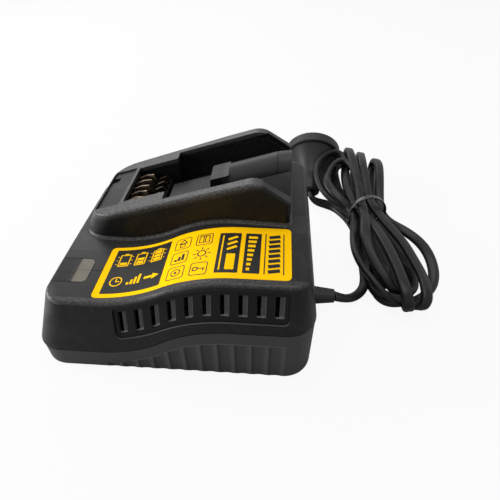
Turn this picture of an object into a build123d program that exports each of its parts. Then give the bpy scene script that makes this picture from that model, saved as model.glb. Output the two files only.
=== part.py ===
from build123d import *
import math
import os

os.makedirs("parts", exist_ok=True)

# ------------------------------------------------------------ overall form
length = 140.0               # nose to back end, along X
depth = 117.0                # front wall to rear wall, along Y
wall = 2.6                   # moulded wall of both housings
seam_step = 0.3              # the upper housing overhangs the lower one by this much
fit = 0.2                    # clearance of a seated insert
nose = -length / 2
end = length / 2
front = -depth / 2
rear = depth / 2
far = 120.0                  # beyond the part on every side

# ------------------------------------------------------------ parting line, an S seen from the front
seam_low = 13.1
seam_high = 33.8
seam_start = nose + 35.0
seam_end = end - 40.0

# ------------------------------------------------------------ label deck, a parallel S
deck_low = 39.8
deck_high = 57.5
deck_start = nose + 33.0
deck_end = end - 38.0
deck_round = 2.2
foot_round = 2.0
crest_round = 1.6

# ------------------------------------------------------------ outline at the seam and at the deck
front_lean = 7.5             # the front wall leans back by this much
nose_lean = 10.0             # the nose leans back by this much
nose_bow = 3.0               # the nose bows out by this much at the seam
end_lean = 4.4               # the back end leans in by this much
rear_lean = 3.0              # the rear wall leans in by this much up to the dock's crest
seam_corner = 14.0           # corner radius at the seam
deck_corner_nose = 12.0
deck_corner_end = 7.0
base_round = 1.6

# ------------------------------------------------------------ dock
dock_slope = 0.318           # rise of the slide plane per millimetre of X
slide_height = 67.6          # height of the slide plane at X = 0
dock_left_foot = nose + 13.8
dock_left_crest = nose + 19.8
dock_peak = end - 30.5       # where the side walls begin to fall
dock_right = end - 14.0      # open end of the dock
dock_right_height = 69.8
dock_corner = 12.0
dock_center = rear - 34.1    # middle plane of the channel
flank_foot = dock_center - 33.4   # Y of the flank's foot at the back end
flank_lean = 0.05            # lean of the flank per millimetre of height
flank_turn = -0.062          # turn of the flank in plan per millimetre of X
rear_turn = 0.07             # the dock's rear wall turns in towards the nose by this much
rear_turn_start = end - 48.0 # and leaves the housing's rear wall here
peak_round = 12.0

# ------------------------------------------------------------ channel and cradle
channel_width = 49.0         # between the side walls
lip_width = 35.0             # between the lips beside the terminals
window_left = nose + 36.6    # closed end of the terminal window
lip_end = window_left + 23.9 # the lips stop here
floor_depth = 19.5           # channel floor under the slide plane, beside the walls
shoulder_depth = 10.5        # the sloping floor meets the guide at this depth
guide_radius = 8.5           # half-round guide along the middle
guide_depth = 12.0           # its axis under the slide plane
guide_end_slope = 0.13       # the guide runs flatter behind its ring
guide_ring = dock_right - 7.5   # a seam runs round the guide here
cradle_wall = 2.0
liner_wall = 1.5             # side walls of the cradle, inside the dock's walls
groove_width = 1.2           # open groove on each side of the guide
groove_depth = 4.0           # its floor under the shoulder's edge
block_width = 15.0           # stepped blocks along the middle
low_block_start = lip_end - 1.5
low_block_depth = 11.0
high_block_start = lip_end + 22.5
high_block_depth = 5.5
guide_start = high_block_start + 10.0
cover_left = dock_left_crest + 0.8   # flat cover at the closed end
cover_right = window_left - 2.0
cover_width = 38.0
cover_thickness = 1.3
cover_depth = 1.0            # its face under the slide plane
cover_backing = 1.6          # housing left under the cover
notch_width = 5.0
notch_length = 5.0
notch_place = 10.5            # from the middle plane, towards the rear

# ------------------------------------------------------------ contacts
contact_count = 5
contact_pitch = 5.8
contact_thickness = 0.9
contact_left = window_left + 0.8
contact_length = 18.0
contact_top = 3.2            # under the slide plane
contact_low_top = 6.4        # the tips are lower
contact_wave = 1.1
block_left = window_left + 0.3
block_right = block_left + 19.1
block_depth = 12.0           # face of the terminal block under the slide plane
block_half = lip_width / 2 - 0.9
rib_length = 9.0             # ribs between the contacts
rib_width = 1.4
rib_height = 3.0

# ------------------------------------------------------------ vent panel and flutes
slot_count = 10
slot_width = 4.1
slot_gap = 1.8               # open part of each slot
slot_shelf = 1.1             # depth of the closed part
panel_left = nose + 45.3
panel_right = end - 13.3
slot_side = 2.2              # from the panel's ends to the outer slots
slot_pitch = (panel_right - panel_left - 2 * slot_side - slot_width) / (slot_count - 1)
first_slot = panel_left + slot_side
panel_sink = 0.9
panel_over_low_seam = 7.3
panel_over_high_seam = 5.0
panel_under_deck = 2.7
panel_corner = 2.4
slot_margin = 2.5
flute_radius = 8.0
flute_depth = 0.9
flute_under_seam = 9.0

# ------------------------------------------------------------ label and lens
label_left = nose + 33.5
label_right = end - 13.0
label_front = front + 11.5
label_rear = flank_foot - foot_round - 0.2
label_corner = 2.6
label_sink = 0.35
label_thickness = 0.3
lens_right = nose + 28.2
lens_front = label_front + 9.4
lens_rear = lens_front + 17.2
lens_corner = 4.0
lens_thickness = 1.4
lens_ledge = 1.6             # rim of the housing that carries the lens
lens_drop = 9.0              # the lens runs down the nose by this much
lens_groove = nose + 20.0    # a shallow step crosses the lens here
led_radius = 1.5
led_pitch = 8.0

# ------------------------------------------------------------ base, screws and wall mount
screw_places = [(nose + 21.0, front + 16.5), (end - 13.0, front + 16.0),
                (nose + 26.0, rear - 12.0), (end - 12.0, rear - 14.5)]
boss_radius = 4.8
screw_radius = 1.5
screw_play = 0.1
head_radius = 2.9
head_height = 2.2
well_radius = 3.4
well_roof = 3.0              # material over the screw head
screw_reach = 8.0            # thread in the upper housing
keyhole_spacing = 64.0
keyhole_y = 8.0
keyhole_entry = 4.6          # radius
keyhole_neck = 2.6           # half width
keyhole_length = 9.0

# ------------------------------------------------------------ electronics
board_height = 8.0           # underside of the circuit board
board_thickness = 1.6
board_left = nose + 14.0
board_right = end - 10.0
board_front = front + 24.5
board_rear = rear - 21.5
pillar_inset = 5.0           # board pillars, from the board's edges
pillar_radius = 3.4
core_size = (28.0, 25.0, 21.0)
core_place = (board_left + 50.0, board_front + 42.0)
core_leg = 5.0
winding_radius = 3.0
capacitor_radius = 9.0
capacitor_height = 27.0
capacitor_place = (board_right - 30.0, board_front + 20.0)
filter_size = (18.0, 8.0, 14.0)
filter_place = (board_right - 12.0, board_front + 48.0)
choke_radius = 7.0           # middle of the ring
choke_wire = 3.4
choke_place = (board_right - 18.0, board_front + 32.0)
heatsink_size = (46.0, 2.0, 22.0)
heatsink_place = (board_left + 58.0, board_front + 10.0)
fin_count = 8
fin_depth = 5.0
package_size = (10.0, 4.4, 15.0)
tab_thickness = 1.3
fuse_radius = 2.6
fuse_length = 20.0
fuse_place = (board_right - 14.0, board_front + 8.0)
opto_size = (4.6, 6.5, 3.4)
opto_place = (board_left + 30.0, board_front + 40.0)
chip_size = (10.0, 6.0, 1.6)
chip_place = (board_left + 16.0, board_front + 46.0)
led_place = board_left + 11.0
led_height = 6.0

# ------------------------------------------------------------ supply cord
cord_width = 6.6             # flat two-core cord
cord_y = front + 49.5        # where it leaves the housing
cord_z = wall + 5.7
grip_inside = 5.0            # collar of the cord grip, behind the wall
grip_outside = 15.0          # its taper, in front of the wall
grip_width = 10.0
grip_height = 8.0
collar_over = 1.4            # the collar is larger than the hole by this much all round
grip_tip_width = 7.6
grip_tip_height = 7.0

# ------------------------------------------------------------ plug
plug_center = (78.0, 133.0, 21.5)
plug_axis = (0.05, 0.93, 0.357)
plug_radius = 21.5
plug_rim = 4.0               # half the thickness of the rim
plug_back_radius = 18.8
plug_neck_radius = 9.5
plug_neck = 24.0
plug_sleeve_radius = 7.6
plug_sleeve = 29.0
plug_tip_radius = 6.6
plug_length = 38.0
pin_width = 6.35
pin_thickness = 1.63
pin_length = 17.0
pin_spacing = 13.7
pin_tilt = 30.0

# ------------------------------------------------------------ route of the cord on the surface, and the hank
tube_radius = cord_width / 2
lead_points = [(91.0, -9.0, 5.6), (98.0, -5.5, 3.4), (104.5, 1.5, 3.4), (109.5, 9.0, 4.6)]
tail_points = [(76.4, 93.6, 6.0), (80.2, 90.2, 3.9), (87.0, 88.0, 3.4), (94.0, 83.0, 3.4)]
hank_sections = [
    (-18.0, 126.0, 6.0, 11.0, 5.0),
    (-12.0, 126.0, 15.0, 11.0, 10.0),
    (0.0, 124.0, 24.5, 12.0, 11.3),
    (15.0, 125.5, 27.5, 12.3, 11.8),
    (32.0, 124.0, 27.0, 12.4, 12.0),
    (48.0, 119.5, 21.0, 12.4, 11.8),
    (66.0, 115.0, 13.6, 12.4, 10.8),
    (78.0, 109.5, 21.0, 15.0, 14.2),
    (88.0, 104.5, 26.5, 17.2, 16.4),
    (102.0, 103.5, 28.5, 18.2, 17.6),
    (116.0, 106.0, 26.0, 18.8, 17.4),
    (128.0, 111.5, 20.0, 18.2, 15.6),
    (139.0, 117.0, 11.0, 15.0, 8.0),
]
tie_section = 6
tie_width = 2.4
tie_thickness = 1.2
plug_clearance = 0.4

board_top = board_height + board_thickness


def slide_z(x):
    """Height of the slide plane at x."""
    return slide_height + dock_slope * x


def s_edges(start, low, finish, high):
    """A level line, an S of two equal arcs and a level line, drawn in X and Z."""
    middle = ((start + finish) / 2, (low + high) / 2)
    rising = TangentArc((start, low), middle, tangent=(1, 0))
    settling = TangentArc(middle, (finish, high), tangent=rising % 1)
    return [Line((-far, low), (start, low)), rising, settling, Line((finish, high), (far, high))]


def seam_edges(lift=0.0):
    return s_edges(seam_start, seam_low + lift, seam_end, seam_high + lift)


def deck_edges(lift=0.0):
    return s_edges(deck_start, deck_low + lift, deck_end, deck_high + lift)


def face_above(edges, top=far):
    """Face between a line of edges and a level top."""
    left = edges[0] @ 0
    right = edges[-1] @ 1
    sides = [
        Line(right, (right.X, top)),
        Line((right.X, top), (left.X, top)),
        Line((left.X, top), left),
    ]
    return make_face(edges + sides)


def upright(face, y):
    """Stand an X-Z sketch in the plane at y."""
    return Plane.XZ.offset(-y) * face


def through(face):
    """Extrude an X-Z sketch through the whole depth."""
    return extrude(upright(face, 0), amount=far, both=True)


def outline(inset, left, bow, right, near, away, nose_radius, end_radius):
    """Plan outline: bowed nose, straight back end, rounded corners."""
    x0 = left + inset
    x1 = right - inset
    y0 = near + inset
    y1 = away - inset
    edges = [
        Line((x0 + bow, y0), (x1, y0)),
        Line((x1, y0), (x1, y1)),
        Line((x1, y1), (x0 + bow, y1)),
        ThreePointArc((x0 + bow, y1), (x0, (y0 + y1) / 2), (x0 + bow, y0)),
    ]
    face = make_face(edges)
    nose_corners = face.vertices().sort_by(Axis.X)[:2]
    face = fillet(nose_corners, nose_radius - inset)
    end_corners = face.vertices().sort_by(Axis.X)[-2:]
    return fillet(end_corners, end_radius - inset)


def rear_y(z):
    """The rear wall leans in steadily from the base."""
    return rear - rear_lean * z / slide_z(dock_peak)


def seam_outline(inset, z):
    return outline(inset, nose, nose_bow, end, front, rear_y(z), seam_corner, seam_corner)


def deck_outline(inset, z):
    return outline(inset, nose + nose_lean, 0.3, end - end_lean, front + front_lean,
                   rear_y(z), deck_corner_nose, deck_corner_end)


def wall_block(inset, low, high):
    """Leaning wall between two levels, by its two outlines."""
    bottom = Pos(0, 0, low) * seam_outline(inset, low)
    top = Pos(0, 0, high) * deck_outline(inset, high)
    return loft([bottom, top], ruled=True)


def band(x0, x1):
    """Slab of space between two values of X."""
    return Pos((x0 + x1) / 2, 0, 0) * Box(x1 - x0, 2 * far, 2 * far)


def shell_form(inset):
    """Upper housing up to the deck, as a solid."""
    level_until = min(seam_start, deck_start)
    level_from = max(seam_end, deck_end)
    nose_part = wall_block(inset, seam_low, deck_low) & band(-far, level_until)
    end_part = wall_block(inset, seam_high, deck_high) & band(level_from, far)
    middle = Pos(0, 0, far / 2) * Box(2 * far, 2 * far, far) & band(level_until, level_from)
    front_cut = loft([
        upright(face_above(seam_edges()), front + inset),
        upright(face_above(deck_edges()), front + front_lean + inset),
    ], ruled=True)
    space = Pos(0, front + inset - far / 2, 0) * Box(2 * far, far, 4 * far)
    lean = Rotation(math.degrees(math.atan(rear_lean / slide_z(dock_peak))), 0, 0)
    behind = Pos(0, rear - inset, 0) * lean * Pos(0, far / 2, 0) * Box(2 * far, far, 4 * far)
    middle = middle - front_cut - space - behind
    form = nose_part + middle + end_part
    form = form - through(face_above(deck_edges(-inset)))
    return form


def dock_profile(inset):
    """Side outline of the dock body in X and Z."""
    left = dock_left_crest + inset
    left_slope = (slide_z(dock_left_crest) - deck_low) / (dock_left_crest - dock_left_foot)
    buried = deck_low - 2.6
    right = dock_right - inset
    fall = (dock_right_height - slide_z(dock_peak)) / (dock_right - dock_peak)
    top_left = (left, slide_z(left) - inset)
    low_left = (left - (top_left[1] - buried) / left_slope, buried)
    peak = (dock_peak, slide_z(dock_peak) - inset)
    low_right = (right, dock_right_height - inset - fall * inset)
    face = make_face(Polyline(low_left, top_left, peak, low_right, (right, buried), close=True))
    corners = face.vertices().sort_by(Axis.Y)
    return fillet(corners[-1:], peak_round)


def dock_form(inset):
    """Dock body: side outline, leaning flank, leaning rear wall, round corners at the nose end."""
    block = through(dock_profile(inset))
    lean = math.degrees(math.atan(flank_lean))
    turn = math.degrees(math.atan(flank_turn))
    flank = Pos(dock_right, flank_foot + inset, deck_high) * Rotation(0, 0, turn) * Rotation(-lean, 0, 0)
    before = flank * Pos(0, -far / 2, 0) * Box(4 * far, far, 4 * far)
    rear_angle = math.degrees(math.atan(rear_lean / slide_z(dock_peak)))
    behind = Pos(0, rear - inset, 0) * Rotation(rear_angle, 0, 0) * Pos(0, far / 2, 0) * Box(4 * far, far, 4 * far)
    turned = Pos(rear_turn_start, rear_y(slide_z(rear_turn_start)) - inset, slide_z(rear_turn_start))
    turned = turned * Rotation(0, 0, math.degrees(math.atan(rear_turn))) * Rotation(rear_angle, 0, 0)
    turned_behind = turned * Pos(0, far / 2, 0) * Box(4 * far, far, 4 * far)
    block = block - before - behind - turned_behind
    left_face = block.faces().sort_by(Axis.X)[0]
    side_edges = left_face.edges().sort_by(Axis.Y)
    return fillet([side_edges[0], side_edges[-1]], dock_corner - inset)


# ------------------------------------------------------------ upper housing
def seam_z(x):
    return s_height(x, seam_start, seam_low, seam_end, seam_high)


def deck_z(x):
    return s_height(x, deck_start, deck_low, deck_end, deck_high)


def s_height(x, start, low, finish, high):
    """Height of an S line at x."""
    run = finish - start
    rise = high - low
    radius = (run * run + rise * rise) / (4 * rise)
    if x <= start:
        return low
    if x >= finish:
        return high
    if x < (start + finish) / 2:
        return low + radius - math.sqrt(radius * radius - (x - start) ** 2)
    return high - radius + math.sqrt(radius * radius - (x - finish) ** 2)


def on_deck(edge):
    middle = edge @ 0.5
    return abs(middle.Z - deck_z(middle.X)) < 0.15


def runs_across(edge):
    """True for the straight joints between the parts of the deck."""
    inner = nose + nose_lean + deck_corner_nose < (edge @ 0).X < end - end_lean - deck_corner_end
    return edge.geom_type == GeomType.LINE and abs((edge @ 0).X - (edge @ 1).X) < 0.01 and inner


def face_below(edges):
    left = edges[0] @ 0
    right = edges[-1] @ 1
    sides = [
        Line(right, (right.X, -far)),
        Line((right.X, -far), (left.X, -far)),
        Line((left.X, -far), left),
    ]
    return make_face(edges + sides)


def rounded_form():
    """Outside of the upper housing."""
    shell = shell_form(0) - through(face_below(seam_edges()))
    rim = [edge for edge in shell.edges() if on_deck(edge) and not runs_across(edge)]
    shell = fillet(rim, deck_round)
    dock = dock_form(0)
    open_end = [edge for edge in dock.edges().filter_by_position(Axis.X, dock_right - 0.1, dock_right + 0.1)
                if abs((edge @ 0).Z - (edge @ 1).Z) > 5]
    dock = fillet(open_end, crest_round + 0.9)
    crest = [edge for edge in dock.edges() if (edge @ 0.5).Z > deck_z((edge @ 0.5).X) + 6
             and abs((edge @ 0).Z - (edge @ 1).Z) < abs((edge @ 0).X - (edge @ 1).X) + crest_round
             and (abs((edge @ 0).X - (edge @ 1).X) > 3 or (edge @ 0.5).X < dock_left_crest + 0.1)]
    dock = fillet(crest, crest_round)
    whole = shell + dock
    cut_y = rear - 18
    near = whole & Pos(0, cut_y - far, 0) * Box(4 * far, 2 * far, 4 * far)
    away = whole & Pos(0, cut_y + far, 0) * Box(4 * far, 2 * far, 4 * far)
    foot = [edge for edge in near.edges() if on_deck(edge) and edge.length > 1
            and flank_foot - 2 < (edge @ 0.5).Y < cut_y - 1
            and dock_left_foot - 0.5 < (edge @ 0.5).X < dock_right + 0.5]
    near = fillet(foot, foot_round)
    return near + away


def slanted_box(x0, x1, y0, y1, top, bottom):
    """Prism between two depths under the slide plane; depths may be negative for above."""
    points = [(x0, slide_z(x0) - top), (x1, slide_z(x1) - top),
              (x1, slide_z(x1) - bottom), (x0, slide_z(x0) - bottom)]
    face = make_face(Polyline(*points, close=True))
    return extrude(upright(face, (y0 + y1) / 2), amount=(y1 - y0) / 2, both=True)


def panel_face(grow):
    """Vent panel seen from the front, between an S over the seam and the deck; it grows up and down."""
    foot = s_edges(seam_start, seam_low + panel_over_low_seam - grow,
                   seam_end, seam_high + panel_over_high_seam - grow)
    region = face_above(foot) & face_below(deck_edges(-panel_under_deck + grow))
    middle = (panel_left + panel_right) / 2
    return region & Pos(middle, 0) * Rectangle(panel_right - panel_left, 4 * far)


def front_prism(face, reach_in):
    """Extrude an X-Z sketch from outside the front wall to a distance inside it."""
    return extrude(upright(face, front - 5), amount=-(reach_in + 5))


def column(x, y, radius, low, high):
    """Upright cylinder between two levels."""
    return Pos(x, y, (low + high) / 2) * Cylinder(radius, high - low)


def box_on(place, size, low):
    """Upright box standing at a level."""
    return Pos(place[0], place[1], low + size[2] / 2) * Box(*size)


def along_slope(sketch, x0, x1, slope=dock_slope):
    """Extrude a Y-Z sketch, drawn from the middle of the slide plane, along a slope."""
    start = Plane(origin=(x0, dock_center, slide_z(x0)), x_dir=(0, 1, 0), z_dir=(1, 0, 0))
    run = (x1 - x0) * math.sqrt(1 + slope * slope)
    direction = Vector(1, 0, slope).normalized()
    return extrude(start * sketch, amount=run, dir=direction)


def both_sides(x0, x1, u0, u1, top, bottom):
    """The same slanted box on both sides of the channel's middle plane."""
    right_side = slanted_box(x0, x1, dock_center + u0, dock_center + u1, top, bottom)
    left_side = slanted_box(x0, x1, dock_center - u1, dock_center - u0, top, bottom)
    return right_side + left_side


outer_form = rounded_form()
inner_form = shell_form(wall) + dock_form(wall)
half_channel = channel_width / 2
half_lip = lip_width / 2

# ------------------------------------------------------------ upper housing
upper_housing = outer_form - inner_form

# Screw bosses end in the middle of the wall above them.
middle_form = shell_form(wall / 2) + dock_form(wall / 2)
boss_tops = [deck_low, deck_high, slide_z(screw_places[2][0]), deck_high]
for place, top in zip(screw_places, boss_tops):
    upper_housing += column(*place, boss_radius, seam_z(place[0]), top) & middle_form
for place in screw_places:
    low = seam_z(place[0])
    upper_housing -= column(*place, screw_radius + screw_play, low - 1, low + screw_reach + 1)

# Backing, recess and ledge of the cover at the closed end.
recess_depth = cover_depth + cover_thickness
backing = slanted_box(cover_left, window_left, dock_center - cover_width / 2 - 1,
                      dock_center + cover_width / 2 + 1, wall / 2, recess_depth + cover_backing)
upper_housing += backing & middle_form
upper_housing -= slanted_box(cover_left, cover_right, dock_center - cover_width / 2,
                             dock_center + cover_width / 2, -far, recess_depth)

# Channel with rebates for the cradle's side walls, and the terminal window between the lips.
tray_half = half_channel + liner_wall
upper_housing -= slanted_box(lip_end, far, dock_center - half_channel, dock_center + half_channel,
                             -far, floor_depth + cradle_wall)
upper_housing -= slanted_box(lip_end - liner_wall - fit, far, dock_center - tray_half - fit,
                             dock_center + tray_half + fit, wall, floor_depth + cradle_wall)
upper_housing -= slanted_box(window_left, lip_end + 1, dock_center - half_lip, dock_center + half_lip,
                             -far, 2 * wall)

# Vent panel: a shallow recess with louvred slots.
panel = panel_face(0)
panel = fillet(panel.vertices().sort_by(Axis.X)[:2] + panel.vertices().sort_by(Axis.X)[-2:], panel_corner)
upper_housing -= front_prism(panel, 11) - shell_form(panel_sink)
shelf_form = shell_form(panel_sink + slot_shelf)
for index in range(slot_count):
    x = first_slot + index * slot_pitch
    strip = panel_face(-slot_margin) & Pos(x + slot_width / 2, 0) * Rectangle(slot_width, 4 * far)
    opening = strip & Pos(x + slot_gap / 2, 0) * Rectangle(slot_gap, 4 * far)
    upper_housing -= front_prism(strip, 11) - shelf_form
    upper_housing -= front_prism(opening, 11)


def deck_patch(x0, x1, y0, y1, radius):
    """Upright prism over a rectangle of the deck."""
    face = Pos((x0 + x1) / 2, (y0 + y1) / 2) * RectangleRounded(x1 - x0, y1 - y0, radius)
    return extrude(face, amount=deck_high + 5)


# Recess of the label.
label_patch = deck_patch(label_left, label_right, label_front, label_rear, label_corner)
upper_housing -= label_patch - shell_form(label_sink)


def lens_prism(shrink):
    """Space of the lens: a rounded patch of the deck that wraps over the nose."""
    plan = Pos((lens_right - far) / 2, (lens_front + lens_rear) / 2) * RectangleRounded(
        lens_right + far - 2 * shrink, lens_rear - lens_front - 2 * shrink, lens_corner - shrink)
    side = Pos((lens_front + lens_rear) / 2, deck_low - lens_drop + far / 2) * RectangleRounded(
        lens_rear - lens_front - 2 * shrink, far - 2 * shrink, lens_corner - shrink)
    upright_part = extrude(plan, amount=far)
    level_part = extrude(Plane.YZ * side, amount=-far)
    return upright_part & level_part


# Recess and window of the lens.
upper_housing -= lens_prism(0) - shell_form(lens_thickness)
upper_housing -= lens_prism(lens_ledge)

# ------------------------------------------------------------ lower housing
def base_block(inset, low):
    """Base with its wall inset, from a level up to the highest seam."""
    bottom = Pos(0, 0, low) * seam_outline(inset, low)
    top = Pos(0, 0, seam_high + 1) * seam_outline(inset, seam_high + 1)
    return loft([bottom, top], ruled=True)


above_seam = through(face_above(seam_edges()))
base = base_block(seam_step, 0)
base = fillet(base.faces().sort_by(Axis.Z)[0].edges(), base_round)
lower_housing = base - above_seam - base_block(seam_step + wall, wall)

# Shallow flutes up the front wall, one under each slot.
flute_space = through(face_below(seam_edges(-flute_under_seam)))
for index in range(-1, slot_count):
    x = first_slot + slot_width / 2 + index * slot_pitch
    flute = column(x, front + seam_step - flute_radius + flute_depth, flute_radius, -1, seam_high)
    lower_housing -= flute & flute_space

# Screw columns, board pillars and keyholes.
for place in screw_places:
    high = seam_z(place[0])
    post = column(*place, boss_radius, wall / 2, high)
    lower_housing += post
    lower_housing -= column(*place, well_radius, -1, high - well_roof)
    lower_housing -= column(*place, screw_radius + screw_play, 0, high + 1)
pillar_places = [(x, y) for x in (board_left + pillar_inset, board_right - pillar_inset)
                 for y in (board_front + pillar_inset, board_rear - pillar_inset)]
for place in pillar_places:
    lower_housing += column(*place, pillar_radius, wall / 2, board_height)
for place in (pillar_places[0], pillar_places[3]):
    lower_housing -= column(*place, screw_radius + screw_play, wall, board_height + 1)
for x in (-keyhole_spacing / 2, keyhole_spacing / 2):
    lower_housing -= column(x, keyhole_y, keyhole_entry, -1, wall + 1)
    neck = Pos(x, keyhole_y + keyhole_length / 2) * SlotOverall(keyhole_length + 2 * keyhole_neck,
                                                                2 * keyhole_neck, rotation=90)
    lower_housing -= Pos(0, 0, -1) * extrude(neck, amount=wall + 2)

# Hole of the cord grip.
grip_face = RectangleRounded(grip_width, grip_height, grip_height / 2 - 0.5)
exit_x = end - seam_step
exit_plane = Plane(origin=(exit_x, cord_y, cord_z), x_dir=(0, 1, 0), z_dir=(1, 0, 0))
lower_housing -= extrude(exit_plane * grip_face, amount=2, both=False)
lower_housing -= extrude(exit_plane * grip_face, amount=-wall - 1)

# ------------------------------------------------------------ battery cradle
liner_top = wall + fit
tray_floor = floor_depth + cradle_wall
cradle = slanted_box(window_left - cradle_wall, lip_end, dock_center - half_lip - cradle_wall,
                     dock_center + half_lip + cradle_wall, floor_depth, tray_floor)
cradle += both_sides(window_left + fit, lip_end, half_lip, half_lip + cradle_wall, liner_top, tray_floor)
cradle += slanted_box(window_left - cradle_wall, window_left + 1, dock_center - half_lip - cradle_wall,
                      dock_center + half_lip + cradle_wall, recess_depth + cover_backing + fit, tray_floor)
cradle -= slanted_box(window_left, lip_end, dock_center - half_lip, dock_center + half_lip,
                      -far, floor_depth)
cradle += slanted_box(lip_end - liner_wall, guide_start + cradle_wall, dock_center - tray_half,
                      dock_center + tray_half, floor_depth, tray_floor)
cradle += both_sides(lip_end - liner_wall, lip_end, half_lip, tray_half, liner_top, tray_floor)
cradle += both_sides(lip_end, dock_right, half_channel, tray_half, liner_top, tray_floor)
cradle += slanted_box(low_block_start, high_block_start, dock_center - block_width / 2,
                      dock_center + block_width / 2, low_block_depth, floor_depth)
cradle += slanted_box(high_block_start, guide_start, dock_center - block_width / 2,
                      dock_center + block_width / 2, high_block_depth, floor_depth)

# Sloping shoulders with a groove on each side of the guide, open underneath.
shoulder_inner = guide_radius + groove_width
groove_floor = shoulder_depth + groove_depth
shoulder_fall = (floor_depth - shoulder_depth) / (half_channel - shoulder_inner)
skin_drop = cradle_wall * math.sqrt(1 + shoulder_fall * shoulder_fall)
under_groove = groove_floor + cradle_wall
under_inner = shoulder_inner + cradle_wall
under_start = shoulder_depth + skin_drop + shoulder_fall * (under_inner - shoulder_inner)
under_outer = under_inner + (tray_floor - under_start) / shoulder_fall
half_section = [(0, -tray_floor), (half_channel, -tray_floor), (half_channel, -floor_depth),
                (shoulder_inner, -shoulder_depth), (shoulder_inner, -groove_floor), (0, -groove_floor)]
half_under = [(0, -tray_floor - 1), (under_outer, -tray_floor - 1), (under_outer, -tray_floor),
              (under_inner, -under_start), (under_inner, -under_groove), (0, -under_groove)]


def mirrored(points):
    """Close a half outline with its mirror image."""
    other = [(-u, v) for u, v in reversed(points)]
    return make_face(Polyline(*points, *other[1:-1], close=True))


cradle += along_slope(mirrored(half_section), guide_start, dock_right)
cradle -= along_slope(mirrored(half_under), guide_start + cradle_wall, dock_right - cradle_wall)
guide_face = Pos(0, -guide_depth) * Circle(guide_radius) + Pos(0, -(guide_depth + groove_floor) / 2) * Rectangle(
    2 * guide_radius, groove_floor - guide_depth)
guide_face = guide_face & Pos(0, -groove_floor / 2) * Rectangle(4 * guide_radius, groove_floor)
cradle += along_slope(guide_face, guide_start, guide_ring)
cradle += along_slope(guide_face, guide_ring, dock_right, guide_end_slope)
ring_face = Pos(0, -guide_depth) * Circle(guide_radius + 1) - Pos(0, -guide_depth) * Circle(guide_radius - 0.4)
cradle -= along_slope(ring_face, guide_ring, guide_ring + 0.6) & slanted_box(
    0, far, dock_center - 20, dock_center + 20, -far, groove_floor)
cradle = cradle & through(dock_profile(wall + fit)) + along_slope(
    Pos(0, -(high_block_depth + tray_floor) / 2 + 3) * Rectangle(2 * half_channel, tray_floor + 1),
    low_block_start, dock_right)


# ------------------------------------------------------------ cover, terminals and contacts
half_cover = cover_width / 2 - fit
terminal_cover = slanted_box(cover_left + fit, cover_right - fit, dock_center - half_cover,
                             dock_center + half_cover, cover_depth, recess_depth)
terminal_cover -= slanted_box(cover_left, cover_left + notch_length, dock_center + notch_place - notch_width / 2,
                              dock_center + notch_place + notch_width / 2, 0, recess_depth + 1)

terminal_block = slanted_box(block_left, block_right, dock_center - block_half, dock_center + block_half,
                             block_depth, floor_depth)
contact_offsets = [(index - (contact_count - 1) / 2) * contact_pitch for index in range(contact_count)]
for offset in contact_offsets[:-1]:
    rib_y = dock_center + offset + contact_pitch / 2
    terminal_block += slanted_box(block_left, block_left + rib_length, rib_y - rib_width / 2,
                                  rib_y + rib_width / 2, block_depth - rib_height, block_depth + 1)

contact_right = contact_left + contact_length
contact_middle = contact_left + 0.52 * contact_length
contact_side = [
    (contact_left, slide_z(contact_left) - contact_top),
    (contact_middle, slide_z(contact_middle) - contact_top),
    (contact_middle + 1.6, slide_z(contact_middle + 1.6) - contact_low_top - 1.6),
    (contact_middle + 3.6, slide_z(contact_middle + 3.6) - contact_low_top),
    (contact_right - 1.5, slide_z(contact_right - 1.5) - contact_low_top),
    (contact_right, slide_z(contact_right) - contact_low_top - 2),
    (contact_right, slide_z(contact_right) - block_depth),
    (contact_left, slide_z(contact_left) - block_depth),
]
side_face = make_face(Polyline(*contact_side, close=True))
contact_path = FilletPolyline(
    (contact_left, 0),
    (contact_left + 0.25 * contact_length, contact_wave),
    (contact_left + 0.5 * contact_length, -0.3 * contact_wave),
    (contact_left + 0.75 * contact_length, -contact_wave),
    (contact_right, 0.4 * contact_wave),
    radius=3.0,
)
contact_plan = trace(contact_path, contact_thickness)
contact_blades = []
for offset in contact_offsets:
    wave = extrude(Pos(0, dock_center + offset) * contact_plan, amount=far)
    contact_blades.append(wave & through(side_face))

# ------------------------------------------------------------ label, lens and lights
label_prism = deck_patch(label_left + fit, label_right - fit, label_front + fit, label_rear - fit,
                         label_corner - fit)
label = (label_prism & shell_form(label_sink - label_thickness)) - shell_form(label_sink)
lens = (lens_prism(fit) & outer_form) - shell_form(lens_thickness)
lens -= Pos(lens_groove, (lens_front + lens_rear) / 2, deck_low) * Box(0.5, lens_rear - lens_front, 0.6)

led_middle = (lens_front + lens_rear) / 2
status_leds = []
for offset in (-led_pitch / 2, led_pitch / 2):
    dome = column(led_place, led_middle + offset, led_radius, board_top, board_top + led_height - led_radius)
    dome += Pos(led_place, led_middle + offset, board_top + led_height - led_radius) * Sphere(led_radius)
    foot = column(led_place, led_middle + offset, led_radius + 0.4, board_top, board_top + 1)
    status_leds.append(dome + foot)

# ------------------------------------------------------------ circuit board
board_face = Pos((board_left + board_right) / 2, (board_front + board_rear) / 2) * RectangleRounded(
    board_right - board_left, board_rear - board_front, 3)
circuit_board = Pos(0, 0, board_height) * extrude(board_face, amount=board_thickness)
for place in (pillar_places[0], pillar_places[3]):
    circuit_board -= column(*place, screw_radius + 0.3, 0, board_top + 1)

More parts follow.
